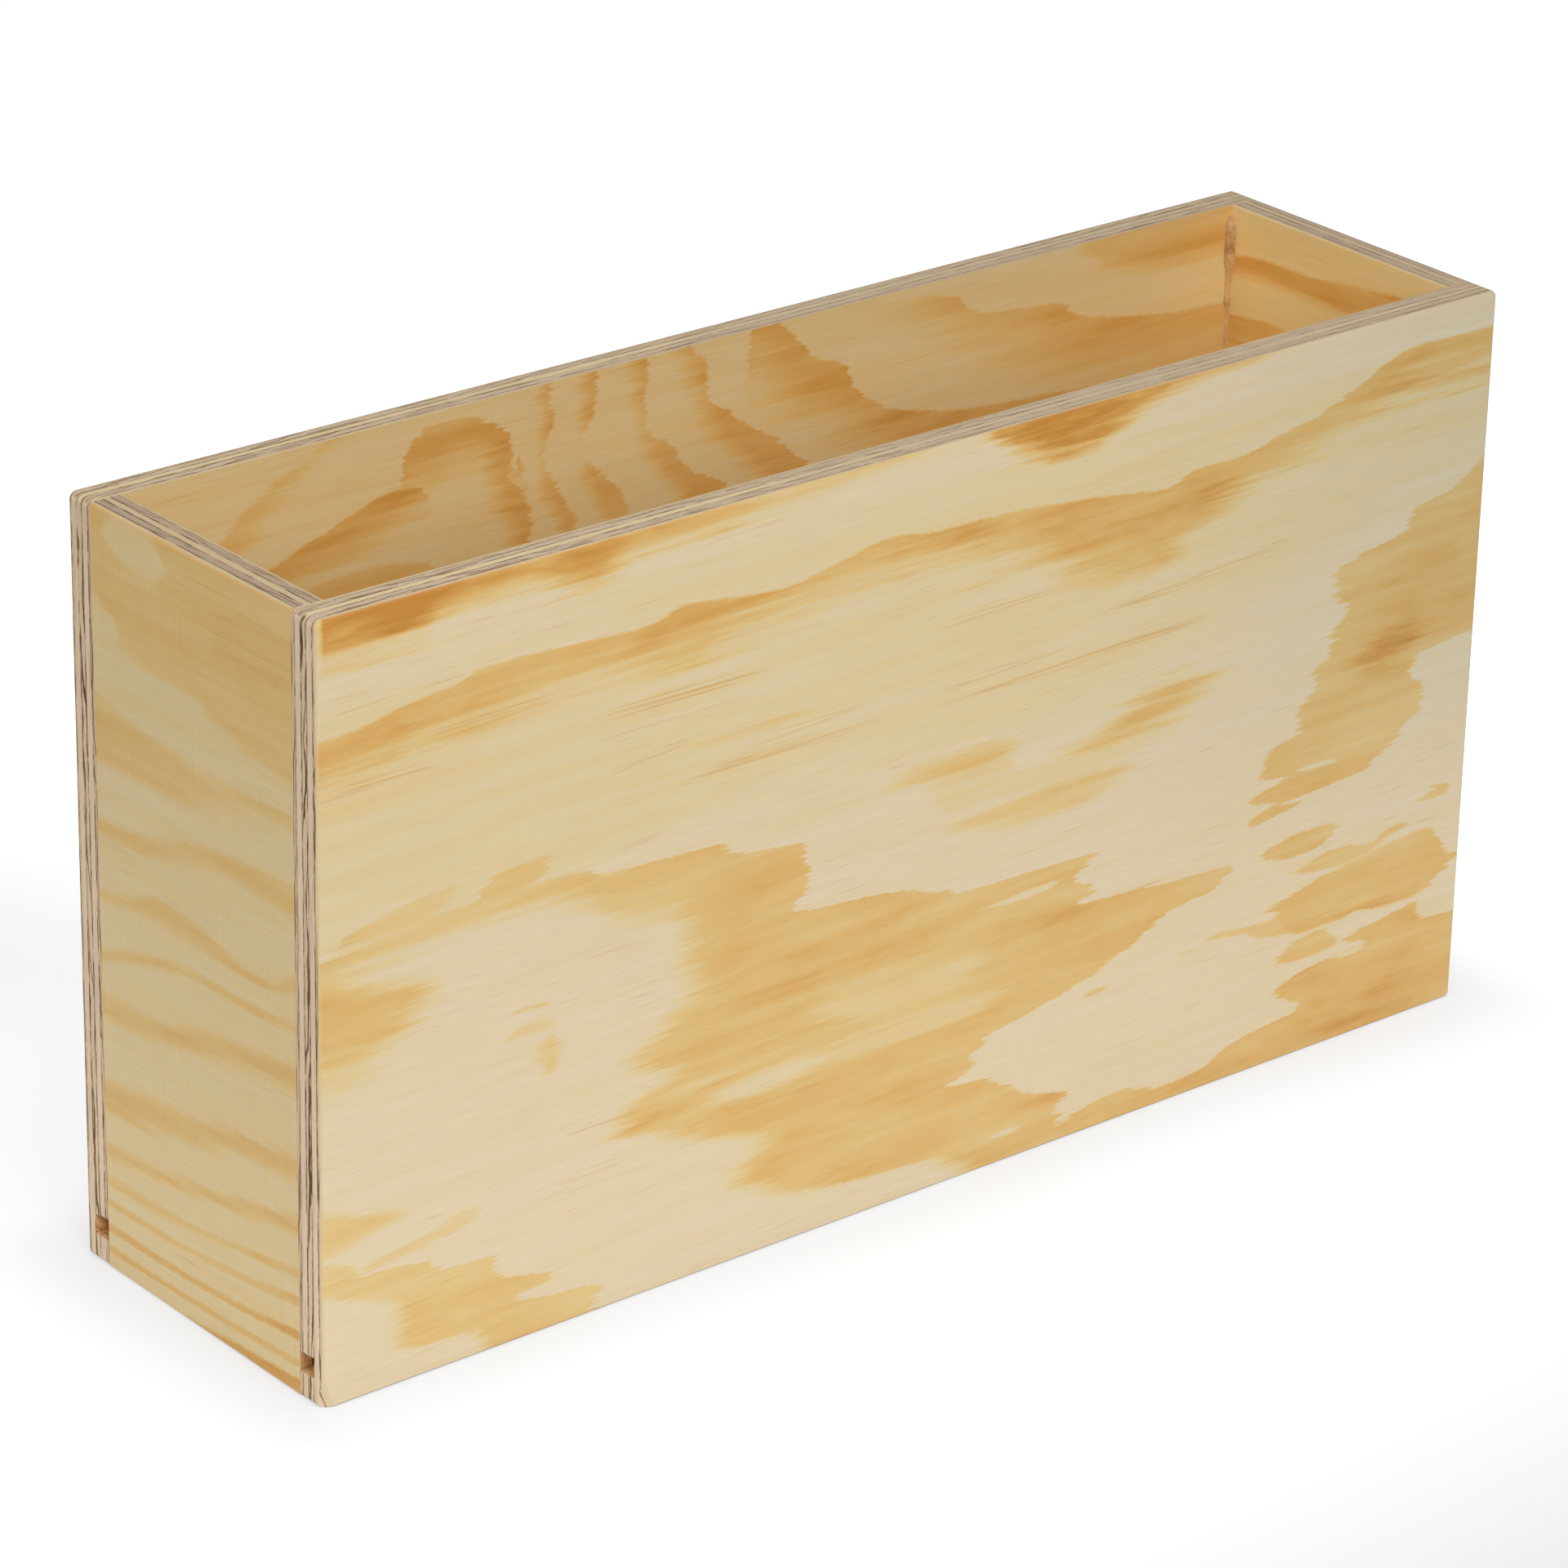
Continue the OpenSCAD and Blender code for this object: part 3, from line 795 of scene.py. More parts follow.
# sanded pine: colour from the figure, with fibres, mottle, long thin lines and scratches across the grain
pineFinish = {
    "steps": [(0, (229, 210, 178)), (0.2, (228, 206, 159)), (0.45, (228, 196, 132)), (0.7, (224, 179, 104)),
              (0.85, (215, 160, 80)), (1.0, (202, 138, 54))],
    "lineTint": (236, 190, 96),
    "coolTint": (242, 248, 255),
    "slant": 0.018,
    "layers": {
        "fibre": (0, 0.06, 1.5, 3, 0.6),
        "streak": (11, 0.011, 0.22, 3, 0.6),
        "mottle": (23, 0.03, 0.09, 3, 0.6),
        "speck": (31, 0.9, 3.0, 2, 0.6),
        "short": (43, 0.05, 1.1, 2, 0.5),
        "gather": (47, 0.01, 0.04, 1, 0.5),
        "scratch": (53, 1.1, 0.025, 2, 0.6),
    },
    "fullAmber": 0.8,
    "breakUp": 1.6,
    "mottle": (1.1, 0.45),
    "paleStreak": 0.4,
    "short": (0.58, 0.74),
    "gather": (0.4, 0.65),
    "fibreShade": 0.16,
    "speckShade": 0.06,
    "rough": (0.18, 0.5),
    "amberGloss": 0.06,
    "fibreHeight": 0.7,
    "speckHeight": 0.3,
}


def makePineGroup():
    finish = pineFinish
    tree, given, made = newGroup(
        "sandedPine", ["Along", "Across", "Seed", "Amber", "Warmth", "Streak", "Lines", "Scratch"],
        ["Wood Tint", "Rough", "Height"])
    along, amber, warmth = given["Along"], given["Amber"], given["Warmth"]
    across = minus(tree, given["Across"], times(tree, along, finish["slant"]))
    noise = grainLayers(tree, along, across, given["Seed"], finish["layers"])
    fibre, speck = noise["fibre"], noise["speck"]
    # soft sides of a band break up into streaks
    middle = times(tree, amber, minus(tree, finish["fullAmber"], amber))
    shake = times(tree, minus(tree, plus(tree, fibre, noise["streak"]), 1.0), finish["breakUp"])
    amber = calc(tree, "MULTIPLY_ADD", middle, shake, amber)
    # mottle inside the bands, faint streaks in the pale wood
    amber = times(tree, amber, scaled(tree, noise["mottle"], *finish["mottle"]), inverse(tree, warmth))
    amber = plus(tree, warmth, swing(tree, noise["streak"], finish["paleStreak"]), amber)
    colour = colourSteps(tree, amber, finish["steps"])
    # brown streaks: the drawn ones, and short faint ones where they gather
    lines = times(tree, smooth(tree, noise["short"], *finish["short"]),
                  smooth(tree, noise["gather"], *finish["gather"]), given["Lines"])
    lines = calc(tree, "MAXIMUM", lines, given["Streak"])
    colour = blendColour(tree, lines, colour, tint(*finish["lineTint"]), "MULTIPLY")
    shade = plus(tree, 1.0, swing(tree, noise["scratch"], given["Scratch"]),
                 swing(tree, fibre, finish["fibreShade"]), swing(tree, speck, finish["speckShade"]))
    grey = tree.nodes.new("ShaderNodeCombineColor")
    for socket in grey.inputs:
        feed(tree, socket, shade)
    feed(tree, made["Wood Tint"], blendColour(tree, 1.0, colour, grey.outputs[0], "MULTIPLY"))
    gloss = times(tree, amber, finish["amberGloss"])
    feed(tree, made["Rough"], minus(tree, scaled(tree, fibre, *finish["rough"]), gloss))
    feed(tree, made["Height"], plus(tree, times(tree, fibre, finish["fibreHeight"]),
                                    times(tree, speck, finish["speckHeight"])))
    return tree


# sanded ply edge: long grain or end grain by the way the edge faces, dark glue lines at the ply's sides
edgeFinish = {
    "glueTint": (96, 64, 32),
    "streakTint": (190, 158, 122),
    "wornTint": (177, 159, 134),
    # the sawn tint is partly the cut wood's colour and partly painted light, lightened to lift the shade in
    # the groove
    "sawnLitTint": (236, 190, 134),
    "tornTint": (176, 116, 64),
    "layers": {
        "fine": (0, 0.1, 5.0, 3, 0.6),
        "bend": (5, 0.03, 0, 3, 0.55),
        "pore": (9, 1.1, 4.5, 2, 0.6),
        "swell": (15, 0.07, 1.2, 2, 0.6),
        "broken": (17, 0.1, 0, 3, 0.7),
        "worn": (21, 0.008, 0, 2, 0.5),
        "patch": (27, 0.05, 1.4, 3, 0.65),
    },
    "ringLength": 46.0,
    "ringBend": 3.4,
    "ringFine": 0.3,
    "ringSlant": 0.95,
    # where late wood starts in a ring, its soft start, and its end
    "lateStart": (0.3, 0.75, 0.95, 0.55),
    "lateSoft": 0.12,
    "lateEnd": (0.93, 0.99, 1, 0),
    "pores": (0.52, 0.72, 0, 0.3),
    "longStreaks": (0.52, 0.75, 0, 0.35),
    "patches": (0.42, 0.68, 0, 0.3),
    "worn": (0.25, 0.5),
    # thickness of the glue film in mm, its swelling, its soft side, and how it breaks up and wears off
    "glueFilm": 0.34,
    "filmSwell": (1.4, 0.3),
    "filmSoft": 0.4,
    "broken": (0.4, 0.56, 0.1, 0.95),
    "filmWear": 0.6,
    "torn": (0.45, 0.7),
    "rough": (0.2, 0.58),
    "poreHeight": 0.5,
}


def makeEdgeGroup():
    finish = edgeFinish
    tree, given, made = newGroup(
        "plyEdge",
        ["Run", "Depth", "Seed", "End Grain", "Ring Contrast", "Glue Low", "Glue High", "Glue Share", "Worn",
         "Long Tint", "End Tint", "Ring Tint"],
        ["Edge Tint", "Sawn Lit Tint", "Rough", "Height"])
    run, depth = given["Run"], given["Depth"]
    noise = grainLayers(tree, run, depth, given["Seed"], finish["layers"])
    fine, pore, swell = noise["fine"], noise["pore"], noise["swell"]
    streakTint = tint(*finish["streakTint"])
    # rings of a rotary cut veneer cross its thickness at a slant, thick and thin
    ring = scaled(tree, noise["bend"], finish["ringBend"], calc(tree, "DIVIDE", run, finish["ringLength"]))
    ring = plus(tree, ring, times(tree, fine, finish["ringFine"]), times(tree, depth, finish["ringSlant"]))
    ring = calc(tree, "FRACT", ring)
    start = smooth(tree, swell, *finish["lateStart"])
    late = times(tree, smooth(tree, ring, minus(tree, start, finish["lateSoft"]), start),
                 smooth(tree, ring, *finish["lateEnd"]), given["Ring Contrast"])
    endColour = blendColour(tree, late, given["End Tint"], given["Ring Tint"])
    endColour = blendColour(tree, smooth(tree, pore, *finish["pores"]), endColour, given["Ring Tint"])
    longColour = blendColour(tree, smooth(tree, fine, *finish["longStreaks"]), given["Long Tint"], streakTint)
    colour = blendColour(tree, given["End Grain"], longColour, endColour)
    colour = blendColour(tree, smooth(tree, noise["patch"], *finish["patches"]), colour, streakTint)
    worn = times(tree, smooth(tree, noise["worn"], *finish["worn"]), given["Worn"])
    colour = blendColour(tree, worn, colour, tint(*finish["wornTint"]))
    # glue lines, broken and partly worn off
    film = times(tree, given["Glue Share"], scaled(tree, swell, *finish["filmSwell"]))
    soft = times(tree, film, finish["filmSoft"])
    low = times(tree, smooth(tree, depth, soft, film, 1, 0), given["Glue Low"])
    high = times(tree, smooth(tree, inverse(tree, depth), soft, film, 1, 0), given["Glue High"])
    glue = times(tree, calc(tree, "MAXIMUM", low, high), smooth(tree, noise["broken"], *finish["broken"]),
                 inverse(tree, times(tree, worn, finish["filmWear"])))
    feed(tree, made["Edge Tint"], blendColour(tree, glue, colour, tint(*finish["glueTint"])))
    # sawn wood in the groove with torn fibres: its tint is lightened as painted light against the groove's
    # shade
    torn = smooth(tree, pore, *finish["torn"])
    sawn = blendColour(tree, torn, tint(*finish["sawnLitTint"]), tint(*finish["tornTint"]))
    feed(tree, made["Sawn Lit Tint"], sawn)
    feed(tree, made["Rough"], scaled(tree, pore, *finish["rough"]))
    feed(tree, made["Height"], minus(tree, scaled(tree, pore, finish["poreHeight"], fine), glue))
    return tree


ringGroup = makeRingGroup()
pineGroup = makePineGroup()
edgeGroup = makeEdgeGroup()
print("figure and finish groups ready")

# boards: axis of their thickness, of the face's grain and across it, and the side that faces outwards
boards = {
    "front": {"thick": yAxis, "grain": xAxis, "cross": zAxis, "outer": -1, "seed": 2.0},
    "back": {"thick": yAxis, "grain": xAxis, "cross": zAxis, "outer": 1, "seed": 14.0},
    "left_end": {"thick": xAxis, "grain": yAxis, "cross": zAxis, "outer": -1, "seed": 26.0},
    "right_end": {"thick": xAxis, "grain": yAxis, "cross": zAxis, "outer": 1, "seed": 38.0},
    "floor": {"thick": zAxis, "grain": xAxis, "cross": yAxis, "outer": -1, "seed": 50.0},
}
boardPlies = ["face_veneer", "outer_crossband", "core", "inner_crossband", "inner_veneer"]
floorPlies = ["bottom_veneer", "core", "top_veneer"]

# figure of each veneer's broad face: a drawn one, or rings of a pitch and sway
veneerFigures = {
    "front_face_veneer": {"drawn": "front", "flip": 1, "warmth": 0.08, "lines": 0.3,
                          "cool": ((10, 190), (40, 120))},
    "left_end_face_veneer": {"drawn": "leftEnd", "flip": -1, "warmth": 0.29, "lines": 0.25, "scratch": 0.09},
    "back_inner_veneer": {"drawn": "backInner", "flip": 1, "warmth": 0.32, "lines": 0.25},
    "right_end_inner_veneer": {"drawn": "rightInner", "flip": -1, "warmth": 0.46, "lines": 0.2},
    "back_face_veneer": {"pitch": 46.0, "sway": 5.0, "warmth": 0.12, "lines": 0.35},
    "right_end_face_veneer": {"pitch": 17.0, "sway": 2.2, "warmth": 0.26, "lines": 0.2, "scratch": 0.1},
    "front_inner_veneer": {"pitch": 40.0, "sway": 5.0, "warmth": 0.38, "lines": 0.3},
    "left_end_inner_veneer": {"pitch": 20.0, "sway": 2.5, "warmth": 0.38, "lines": 0.2},
    "floor_top_veneer": {"pitch": 30.0, "sway": 3.0, "warmth": 0.3, "lines": 0.4},
    "floor_bottom_veneer": {"pitch": 34.0, "sway": 4.0, "warmth": 0.3, "lines": 0.4},
}

# tints of the plies' edges: long grain, end grain, rings in the end grain
edgeTints = {
    "veneer": {"long": (206, 188, 150), "end": (226, 192, 156), "ring": (104, 68, 32), "contrast": 0.95},
    "crossband": {"long": (238, 212, 178), "end": (188, 169, 143), "ring": (106, 84, 60), "contrast": 0.7},
    "endCrossband": {"long": (238, 212, 178), "end": (164, 143, 121), "ring": (98, 76, 56), "contrast": 0.6},
    "core": {"long": (206, 187, 146), "end": (234, 204, 168), "ring": (96, 58, 24), "contrast": 1.0},
    "endCore": {"long": (190, 169, 134), "end": (234, 204, 168), "ring": (96, 58, 24), "contrast": 1.0},
    "floor": {"long": (160, 114, 68), "end": (164, 112, 62), "ring": (92, 60, 34), "contrast": 0.8},
}

# how a ply's sides differ: by the way they face, 0 to 1, and by their height in metres
plyLook = {
    "shine": 0.35,
    "seedStep": 1.7,
    "endGrain": (0.3, 0.8),
    "broad": (0.35, 0.75),
    "sawnEnd": (0.6, 0.9),
    "sawnSide": (0.85, 0.95),
    "grooveLow": (0.002, 0.004),
    "grooveHigh": (0.02, 0.022, 1, 0),
    # grey wear on the rim, less at the left
    "rimHeight": (0.188, 0.192),
    "rimWear": (-0.16, 0.06, 0.1, 0.7),
    # sanded facet of the upright arrises, painted shade on the surfaces that face up, the rim's top and
    # arris, painted shadow on the arris at the foot
    "facetTint": (214, 192, 148),
    "facet": (0.3, 0.5),
    "facetShare": 0.5,
    "arrisShadeTint": (150, 126, 96),
    "arris": (0.15, 0.6, 0, 0.3),
    "footShadowTint": (84, 74, 70),
    "footTurn": (0.3, 0.7),
    "underside": (0.93, 0.99, 1, 0),
    "footHeight": (0.001, 0.003, 0.6, 0),
    "bump": 0.1,
    "bumpDepth": 0.3 * mm,
}


def plyKind(ply):
    if "veneer" in ply:
        return "veneer"
    return "core" if ply == "core" else "crossband"


# edges of a ply, from its place in the board and the kind of its wood
def edgeLook(tree, board, ply, seed, metres, turned):
    spec, look, kind = boards[board], plyLook, plyKind(ply)
    node = board + "_" + ply
    low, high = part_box(node)
    thick, grain, cross = spec["thick"], spec["grain"], spec["cross"]
    tints = edgeTints[kind]
    if board == "floor":
        tints = edgeTints["floor"]
    elif board.endswith("end") and kind != "veneer":
        tints = edgeTints["end" + kind.capitalize()]
    endAxis = cross if kind == "crossband" else grain
    start, finish = (low, high) if spec["outer"] < 0 else (high, low)
    return useGroup(tree, edgeGroup, {
        "Run": times(tree, plus(tree, metres[grain], metres[cross]), inMm),
        "Depth": calc(tree, "DIVIDE", minus(tree, metres[thick], start[thick]), finish[thick] - start[thick]),
        "Seed": seed,
        "End Grain": smooth(tree, turned[endAxis], *look["endGrain"]),
        "Ring Contrast": tints["contrast"],
        "Glue Low": 0.0 if ply in ("face_veneer", "bottom_veneer") else 1.0,
        "Glue High": 0.0 if ply in ("inner_veneer", "top_veneer") else 1.0,
        "Glue Share": edgeFinish["glueFilm"] * mm / abs(high[thick] - low[thick]),
        "Worn": times(tree, smooth(tree, metres[zAxis], *look["rimHeight"]),
                      smooth(tree, metres[xAxis], *look["rimWear"])),
        "Long Tint": tint(*tints["long"]),
        "End Tint": tint(*tints["end"]),
        "Ring Tint": tint(*tints["ring"]),
    })


# broad face of a veneer: its colour, roughness and height
def faceLook(tree, node, seed, alongMetres, acrossMetres):
    figure = veneerFigures[node]
    along = times(tree, alongMetres, inMm * figure.get("flip", 1))
    across = times(tree, acrossMetres, inMm)
    place = {"Along": along, "Across": across, "Seed": seed}
    if "drawn" in figure:
        drawn = useGroup(tree, figureGroups[figure["drawn"]], place)
        streak = drawn["Streak"]
    else:
        drawn = useGroup(tree, ringGroup, {**place, "Pitch": figure["pitch"], "Sway": figure["sway"]})
        streak = 0.0
    face = useGroup(tree, pineGroup, {
        **place, "Amber": drawn["Amber"], "Warmth": figure["warmth"], "Streak": streak,
        "Lines": figure["lines"], "Scratch": figure.get("scratch", 0.0),
    })
    wood = face["Wood Tint"]
    if "cool" in figure:
        coolAlong, coolAcross = figure["cool"]
        greyer = times(tree, smooth(tree, along, *coolAlong), smooth(tree, across, *coolAcross))
        wood = blendColour(tree, greyer, wood, tint(*pineFinish["coolTint"]), "MULTIPLY")
    return wood, face["Rough"], face["Height"]


def plyMaterial(board, ply):
    spec, look = boards[board], plyLook
    node = board + "_" + ply
    material, tree, shader = newMaterial(node + "_wood")
    shader.inputs["Specular IOR Level"].default_value = look["shine"]
    metres = splitAxes(tree, objectPlace(tree))
    facing = splitAxes(tree, tree.nodes.new("ShaderNodeNewGeometry").outputs["Normal"])
    turned = [calc(tree, "ABSOLUTE", socket) for socket in facing]
    thick, grain, cross = spec["thick"], spec["grain"], spec["cross"]
    seed = spec["seed"] + (boardPlies + floorPlies).index(ply) * look["seedStep"]
    edge = edgeLook(tree, board, ply, seed, metres, turned)
    colour, rough, height = edge["Edge Tint"], edge["Rough"], edge["Height"]
    # the sawn tint used below is lightened as painted light, to lift the shade in the groove
    if board.endswith("end"):  # an end board's butted ends show only inside the groove
        sawn = smooth(tree, turned[grain], *look["sawnEnd"])
        colour = blendColour(tree, sawn, colour, edge["Sawn Lit Tint"])
    elif board != "floor":  # so do the sides of the groove itself
        sawn = times(tree, smooth(tree, metres[zAxis], *look["grooveLow"]),
                     smooth(tree, metres[zAxis], *look["grooveHigh"]),
                     smooth(tree, turned[zAxis], *look["sawnEnd"]))
        colour = blendColour(tree, sawn, colour, edge["Sawn Lit Tint"])
    if plyKind(ply) != "veneer":  # and so do the broad sides of the plies between
        colour = blendColour(tree, smooth(tree, turned[thick], *look["sawnSide"]), colour, edge["Sawn Lit Tint"])
    else:
        wood, faceRough, faceHeight = faceLook(tree, node, seed, metres[grain], metres[cross])
        broad = smooth(tree, turned[thick], *look["broad"])
        colour = blendColour(tree, broad, colour, wood)
        slant = times(tree, smooth(tree, turned[xAxis], *look["facet"]),
                      smooth(tree, turned[yAxis], *look["facet"]), look["facetShare"])
        colour = blendColour(tree, slant, colour, tint(*look["facetTint"]))
        # painted shade: veneer surfaces that face upwards, the rim's top and its rounded arris, are darkened
        rimArrisShade = smooth(tree, facing[zAxis], *look["arris"])
        colour = blendColour(tree, rimArrisShade, colour, tint(*look["arrisShadeTint"]))
        rough = mixValue(tree, broad, rough, faceRough)
        height = mixValue(tree, broad, height, faceHeight)
    # painted shadow: the rounded arris just above the foot, facing down, is darkened as if shaded by the
    # floor
    under = times(tree, facing[zAxis], -1.0)
    foot = times(tree, smooth(tree, under, *look["footTurn"]), smooth(tree, under, *look["underside"]),
                 smooth(tree, metres[zAxis], *look["footHeight"]))
    colour = blendColour(tree, foot, colour, tint(*look["footShadowTint"]))
    feed(tree, shader.inputs["Base Color"], colour)
    feed(tree, shader.inputs["Roughness"], rough)
    addBump(tree, shader, height, look["bump"], look["bumpDepth"])
    return material


# modelling tools
sameSpot = 0.01 * mm
cutMargin = 0.001 * mm


def near(first, second):
    return abs(first - second) < sameSpot


# both ends of an edge lie at one place on an axis
def bothAt(a, b, axis, place):
    return near(a[axis], place) and near(b[axis], place)


def onlySelect(obj):
    bpy.ops.object.select_all(action="DESELECT")
    obj.select_set(True)
    bpy.context.view_layer.objects.active = obj


def addSlab(name, low, high):
    bpy.ops.object.select_all(action="DESELECT")
    bpy.ops.mesh.primitive_cube_add(size=1, location=(low + high) / 2)
    slab = bpy.context.active_object
    slab.name = name
    slab.scale = high - low
    bpy.ops.object.transform_apply(location=True, rotation=True, scale=True)
    return slab


# picks the edges whose two ends pass the test
def pickEdges(obj, test):
    bpy.ops.mesh.select_mode(type="EDGE")
    bpy.ops.mesh.select_all(action="DESELECT")
    shape = bmesh.from_edit_mesh(obj.data)
    for edge in shape.edges:
        edge.select_set(test(edge.verts[0].co, edge.verts[1].co))
    bmesh.update_edit_mesh(obj.data)


def roundEdges(obj, test, radius, steps):
    onlySelect(obj)
    bpy.ops.object.mode_set(mode="EDIT")
    pickEdges(obj, test)
    bpy.ops.mesh.bevel(offset=radius, offset_type="OFFSET", segments=steps, profile=0.5, affect="EDGES")
    bpy.ops.object.mode_set(mode="OBJECT")


def cutAway(point, normal):
    bpy.ops.mesh.select_all(action="SELECT")
    bpy.ops.mesh.bisect(plane_co=point, plane_no=normal, use_fill=True, clear_outer=True, threshold=cutMargin)


# cuts a piece along planes, each a point and the way out
def cutAlong(piece, planes):
    onlySelect(piece)
    bpy.ops.object.mode_set(mode="EDIT")
    for point, out in planes:
        cutAway(point, out)
    bpy.ops.object.mode_set(mode="OBJECT")


# edge work on the plies, in metres
plyWork = {
    "cornerRadius": 2.0 * mm,
    "cornerSteps": 8,
    "footRadius": 1.5 * mm,
    "footSteps": 5,
    "arrisRadius": 1.0 * mm,
    "arrisSteps": 5,
    "innerRadius": 0.5 * mm,
    "innerSteps": 3,
    "hairline": 0.06 * mm,
    "hairlineAngle": 50,
    "smoothAngle": 30,
    "grooveClear": 0.2 * mm,
    "wideArris": ("right_end_face_veneer", "right_end_outer_crossband"),
    "wideArrisTurns": (15, 30, 45, 60, 75),
    "chips": {
        "front": {"core": 0.6 * mm, "inner_crossband": 0.3 * mm, "inner_veneer": 0.2 * mm},
        "back": {"core": 0.2 * mm, "inner_crossband": 1.0 * mm, "inner_veneer": 1.5 * mm},
    },
    "chipSteps": 2,
    "wornFoot": ("front_face_veneer", "front_outer_crossband"),
    "wornFootAway": (3.4 * mm, 2.6 * mm, 9.0 * mm),
}
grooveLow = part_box("floor_bottom_veneer")[0].z
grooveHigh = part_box("floor_top_veneer")[1].z + plyWork["grooveClear"]


def makeSlabPart(name, board, ply, low, high):
    spec = boards[board]
    thick = spec["thick"]
    slab = addSlab(name, low, high)
    longBoard = board in ("front", "back")
    top = near(high.z, cadHigh.z)
    bottom = near(low.z, cadLow.z)
    outer, inner = (low[thick], high[thick]) if spec["outer"] < 0 else (high[thick], low[thick])
    if longBoard and top:
        def corner(a, b):
            return near(a.x, b.x) and bothAt(a, b, zAxis, high.z)
        roundEdges(slab, corner, plyWork["cornerRadius"], plyWork["cornerSteps"])
    if longBoard and bottom:
        def foot(a, b):
            return near(a.x, b.x) and bothAt(a, b, zAxis, low.z)
        roundEdges(slab, foot, plyWork["footRadius"], plyWork["footSteps"])
    if ply == "face_veneer":
        def arris(a, b):
            return bothAt(a, b, thick, outer) and (longBoard or near(a.z, b.z))
        roundEdges(slab, arris, plyWork["arrisRadius"], plyWork["arrisSteps"])
    if ply == "inner_veneer" and top:
        def rim(a, b):
            return bothAt(a, b, thick, inner) and bothAt(a, b, zAxis, high.z)
        roundEdges(slab, rim, plyWork["innerRadius"], plyWork["innerSteps"])
    if longBoard and ply in plyWork["chips"][board] and top:
        def chip(a, b):  # torn corner where the groove runs out at the ends
            return near(a.x, b.x) and near(abs(a.x), cadHigh.x) and bothAt(a, b, zAxis, low.z)
        roundEdges(slab, chip, plyWork["chips"][board][ply], plyWork["chipSteps"])
    return slab


# planes tangent to the long boards' rounded corner
def cutWideArris(piece):
    radius = plyWork["cornerRadius"]
    centre = Vector((cadHigh.x - radius, 0, cadHigh.z - radius))
    turns = [math.radians(turn) for turn in plyWork["wideArrisTurns"]]
    ways = [Vector((math.cos(turn), 0, math.sin(turn))) for turn in turns]
    cutAlong(piece, [(centre + out * radius, out) for out in ways])


# the front board's lower left corner is worn off at a slant
def cutWornFoot(piece):
    acrossFace, throughPly, upEdge = plyWork["wornFootAway"]
    out = Vector((-1 / acrossFace, -1 / throughPly, -1 / upEdge)).normalized()
    cutAlong(piece, [(cadLow + Vector((acrossFace, 0, 0)), out)])


def makePly(board, ply):
    node = board + "_" + ply
    low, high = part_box(node)
    if board == "floor":
        piece = addSlab(node + "_ply", low, high)
    elif ply in ("core", "inner_crossband", "inner_veneer"):  # the groove parts these in two
        piece = makeSlabPart(node + "_ply", board, ply, Vector((low.x, low.y, grooveHigh)), high)
        strip = makeSlabPart(node + "_strip", board, ply, low, Vector((high.x, high.y, grooveLow)))
        onlySelect(piece)
        strip.select_set(True)
        bpy.ops.object.join()
    else:
        piece = makeSlabPart(node + "_ply", board, ply, low, high)
    if node in plyWork["wideArris"]:
        cutWideArris(piece)
    if node in plyWork["wornFoot"]:
        cutWornFoot(piece)
    onlySelect(piece)
    soften = piece.modifiers.new("hairline", "BEVEL")
    soften.width = plyWork["hairline"]
    soften.segments = 1
    soften.limit_method = "ANGLE"
    soften.angle_limit = math.radians(plyWork["hairlineAngle"])
    bpy.ops.object.modifier_apply(modifier=soften.name)
    bpy.ops.object.mode_set(mode="EDIT")
    bpy.ops.mesh.select_all(action="SELECT")
    bpy.ops.mesh.remove_doubles(threshold=cutMargin)
    bpy.ops.object.mode_set(mode="OBJECT")
    bpy.ops.object.shade_smooth_by_angle(angle=math.radians(plyWork["smoothAngle"]))
    piece.data.materials.clear()
    piece.data.materials.append(plyMaterial(board, ply))
    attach(piece, "root")
    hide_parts(node)


for board in boards:
    for ply in floorPlies if board == "floor" else boardPlies:
        makePly(board, ply)
    print("plies made:", board)

# squeezed-out glue in the inside corners
glueBead = {
    "sides": 32,
    "cuts": 150,
    "longEdge": 10.0 * mm,
    "headLength": 11.0 * mm,
    "headStretch": 1.2,
    "headSwell": 1.3,
    "neckSwell": 0.85,
    "bodySwell": 0.5,
    "tipLength": 1.0 * mm,
    "tipSwell": 0.7,
    "lump": 1.0 * mm,
    "lumpSize": 3.0 * mm,
    "lumpDepth": 2,
    "lumpMiddle": 0.6,
    "smoothAngle": 50,
    "lightTint": (204, 161, 105),
    "darkTint": (166, 122, 76),
    "grainRate": 900,
    "grainDetail": 3,
    "patchRate": 160,
    "light": (0.38, 0.62),
    # thinner and paler below its head, heights in metres
    "paleTint": (232, 190, 126),
    "pale": (0.178, 0.184, 0.5, 0),
    "rough": (0.3, 0.4),
    "bump": 0.4,
    "bumpDepth": 0.4 * mm,
}


def glueMaterial():
    material, tree, shader = newMaterial("driedGlue")
    place = objectPlace(tree)
    lumps = tree.nodes.new("ShaderNodeTexNoise")
    lumps.inputs["Scale"].default_value = glueBead["grainRate"]
    lumps.inputs["Detail"].default_value = glueBead["grainDetail"]
    feed(tree, lumps.inputs["Vector"], place)
    patch = tree.nodes.new("ShaderNodeTexNoise")
    patch.inputs["Scale"].default_value = glueBead["patchRate"]
    feed(tree, patch.inputs["Vector"], place)
    mixed = mixValue(tree, 0.5, lumps.outputs[0], patch.outputs[0])
    light = smooth(tree, mixed, *glueBead["light"])
    colour = blendColour(tree, light, tint(*glueBead["darkTint"]), tint(*glueBead["lightTint"]))
    pale = smooth(tree, splitAxes(tree, place)[zAxis], *glueBead["pale"])
    colour = blendColour(tree, pale, colour, tint(*glueBead["paleTint"]))
    feed(tree, shader.inputs["Base Color"], colour)
    feed(tree, shader.inputs["Roughness"], scaled(tree, mixed, *glueBead["rough"]))
    addBump(tree, shader, lumps.outputs[0], glueBead["bump"], glueBead["bumpDepth"])
    return material


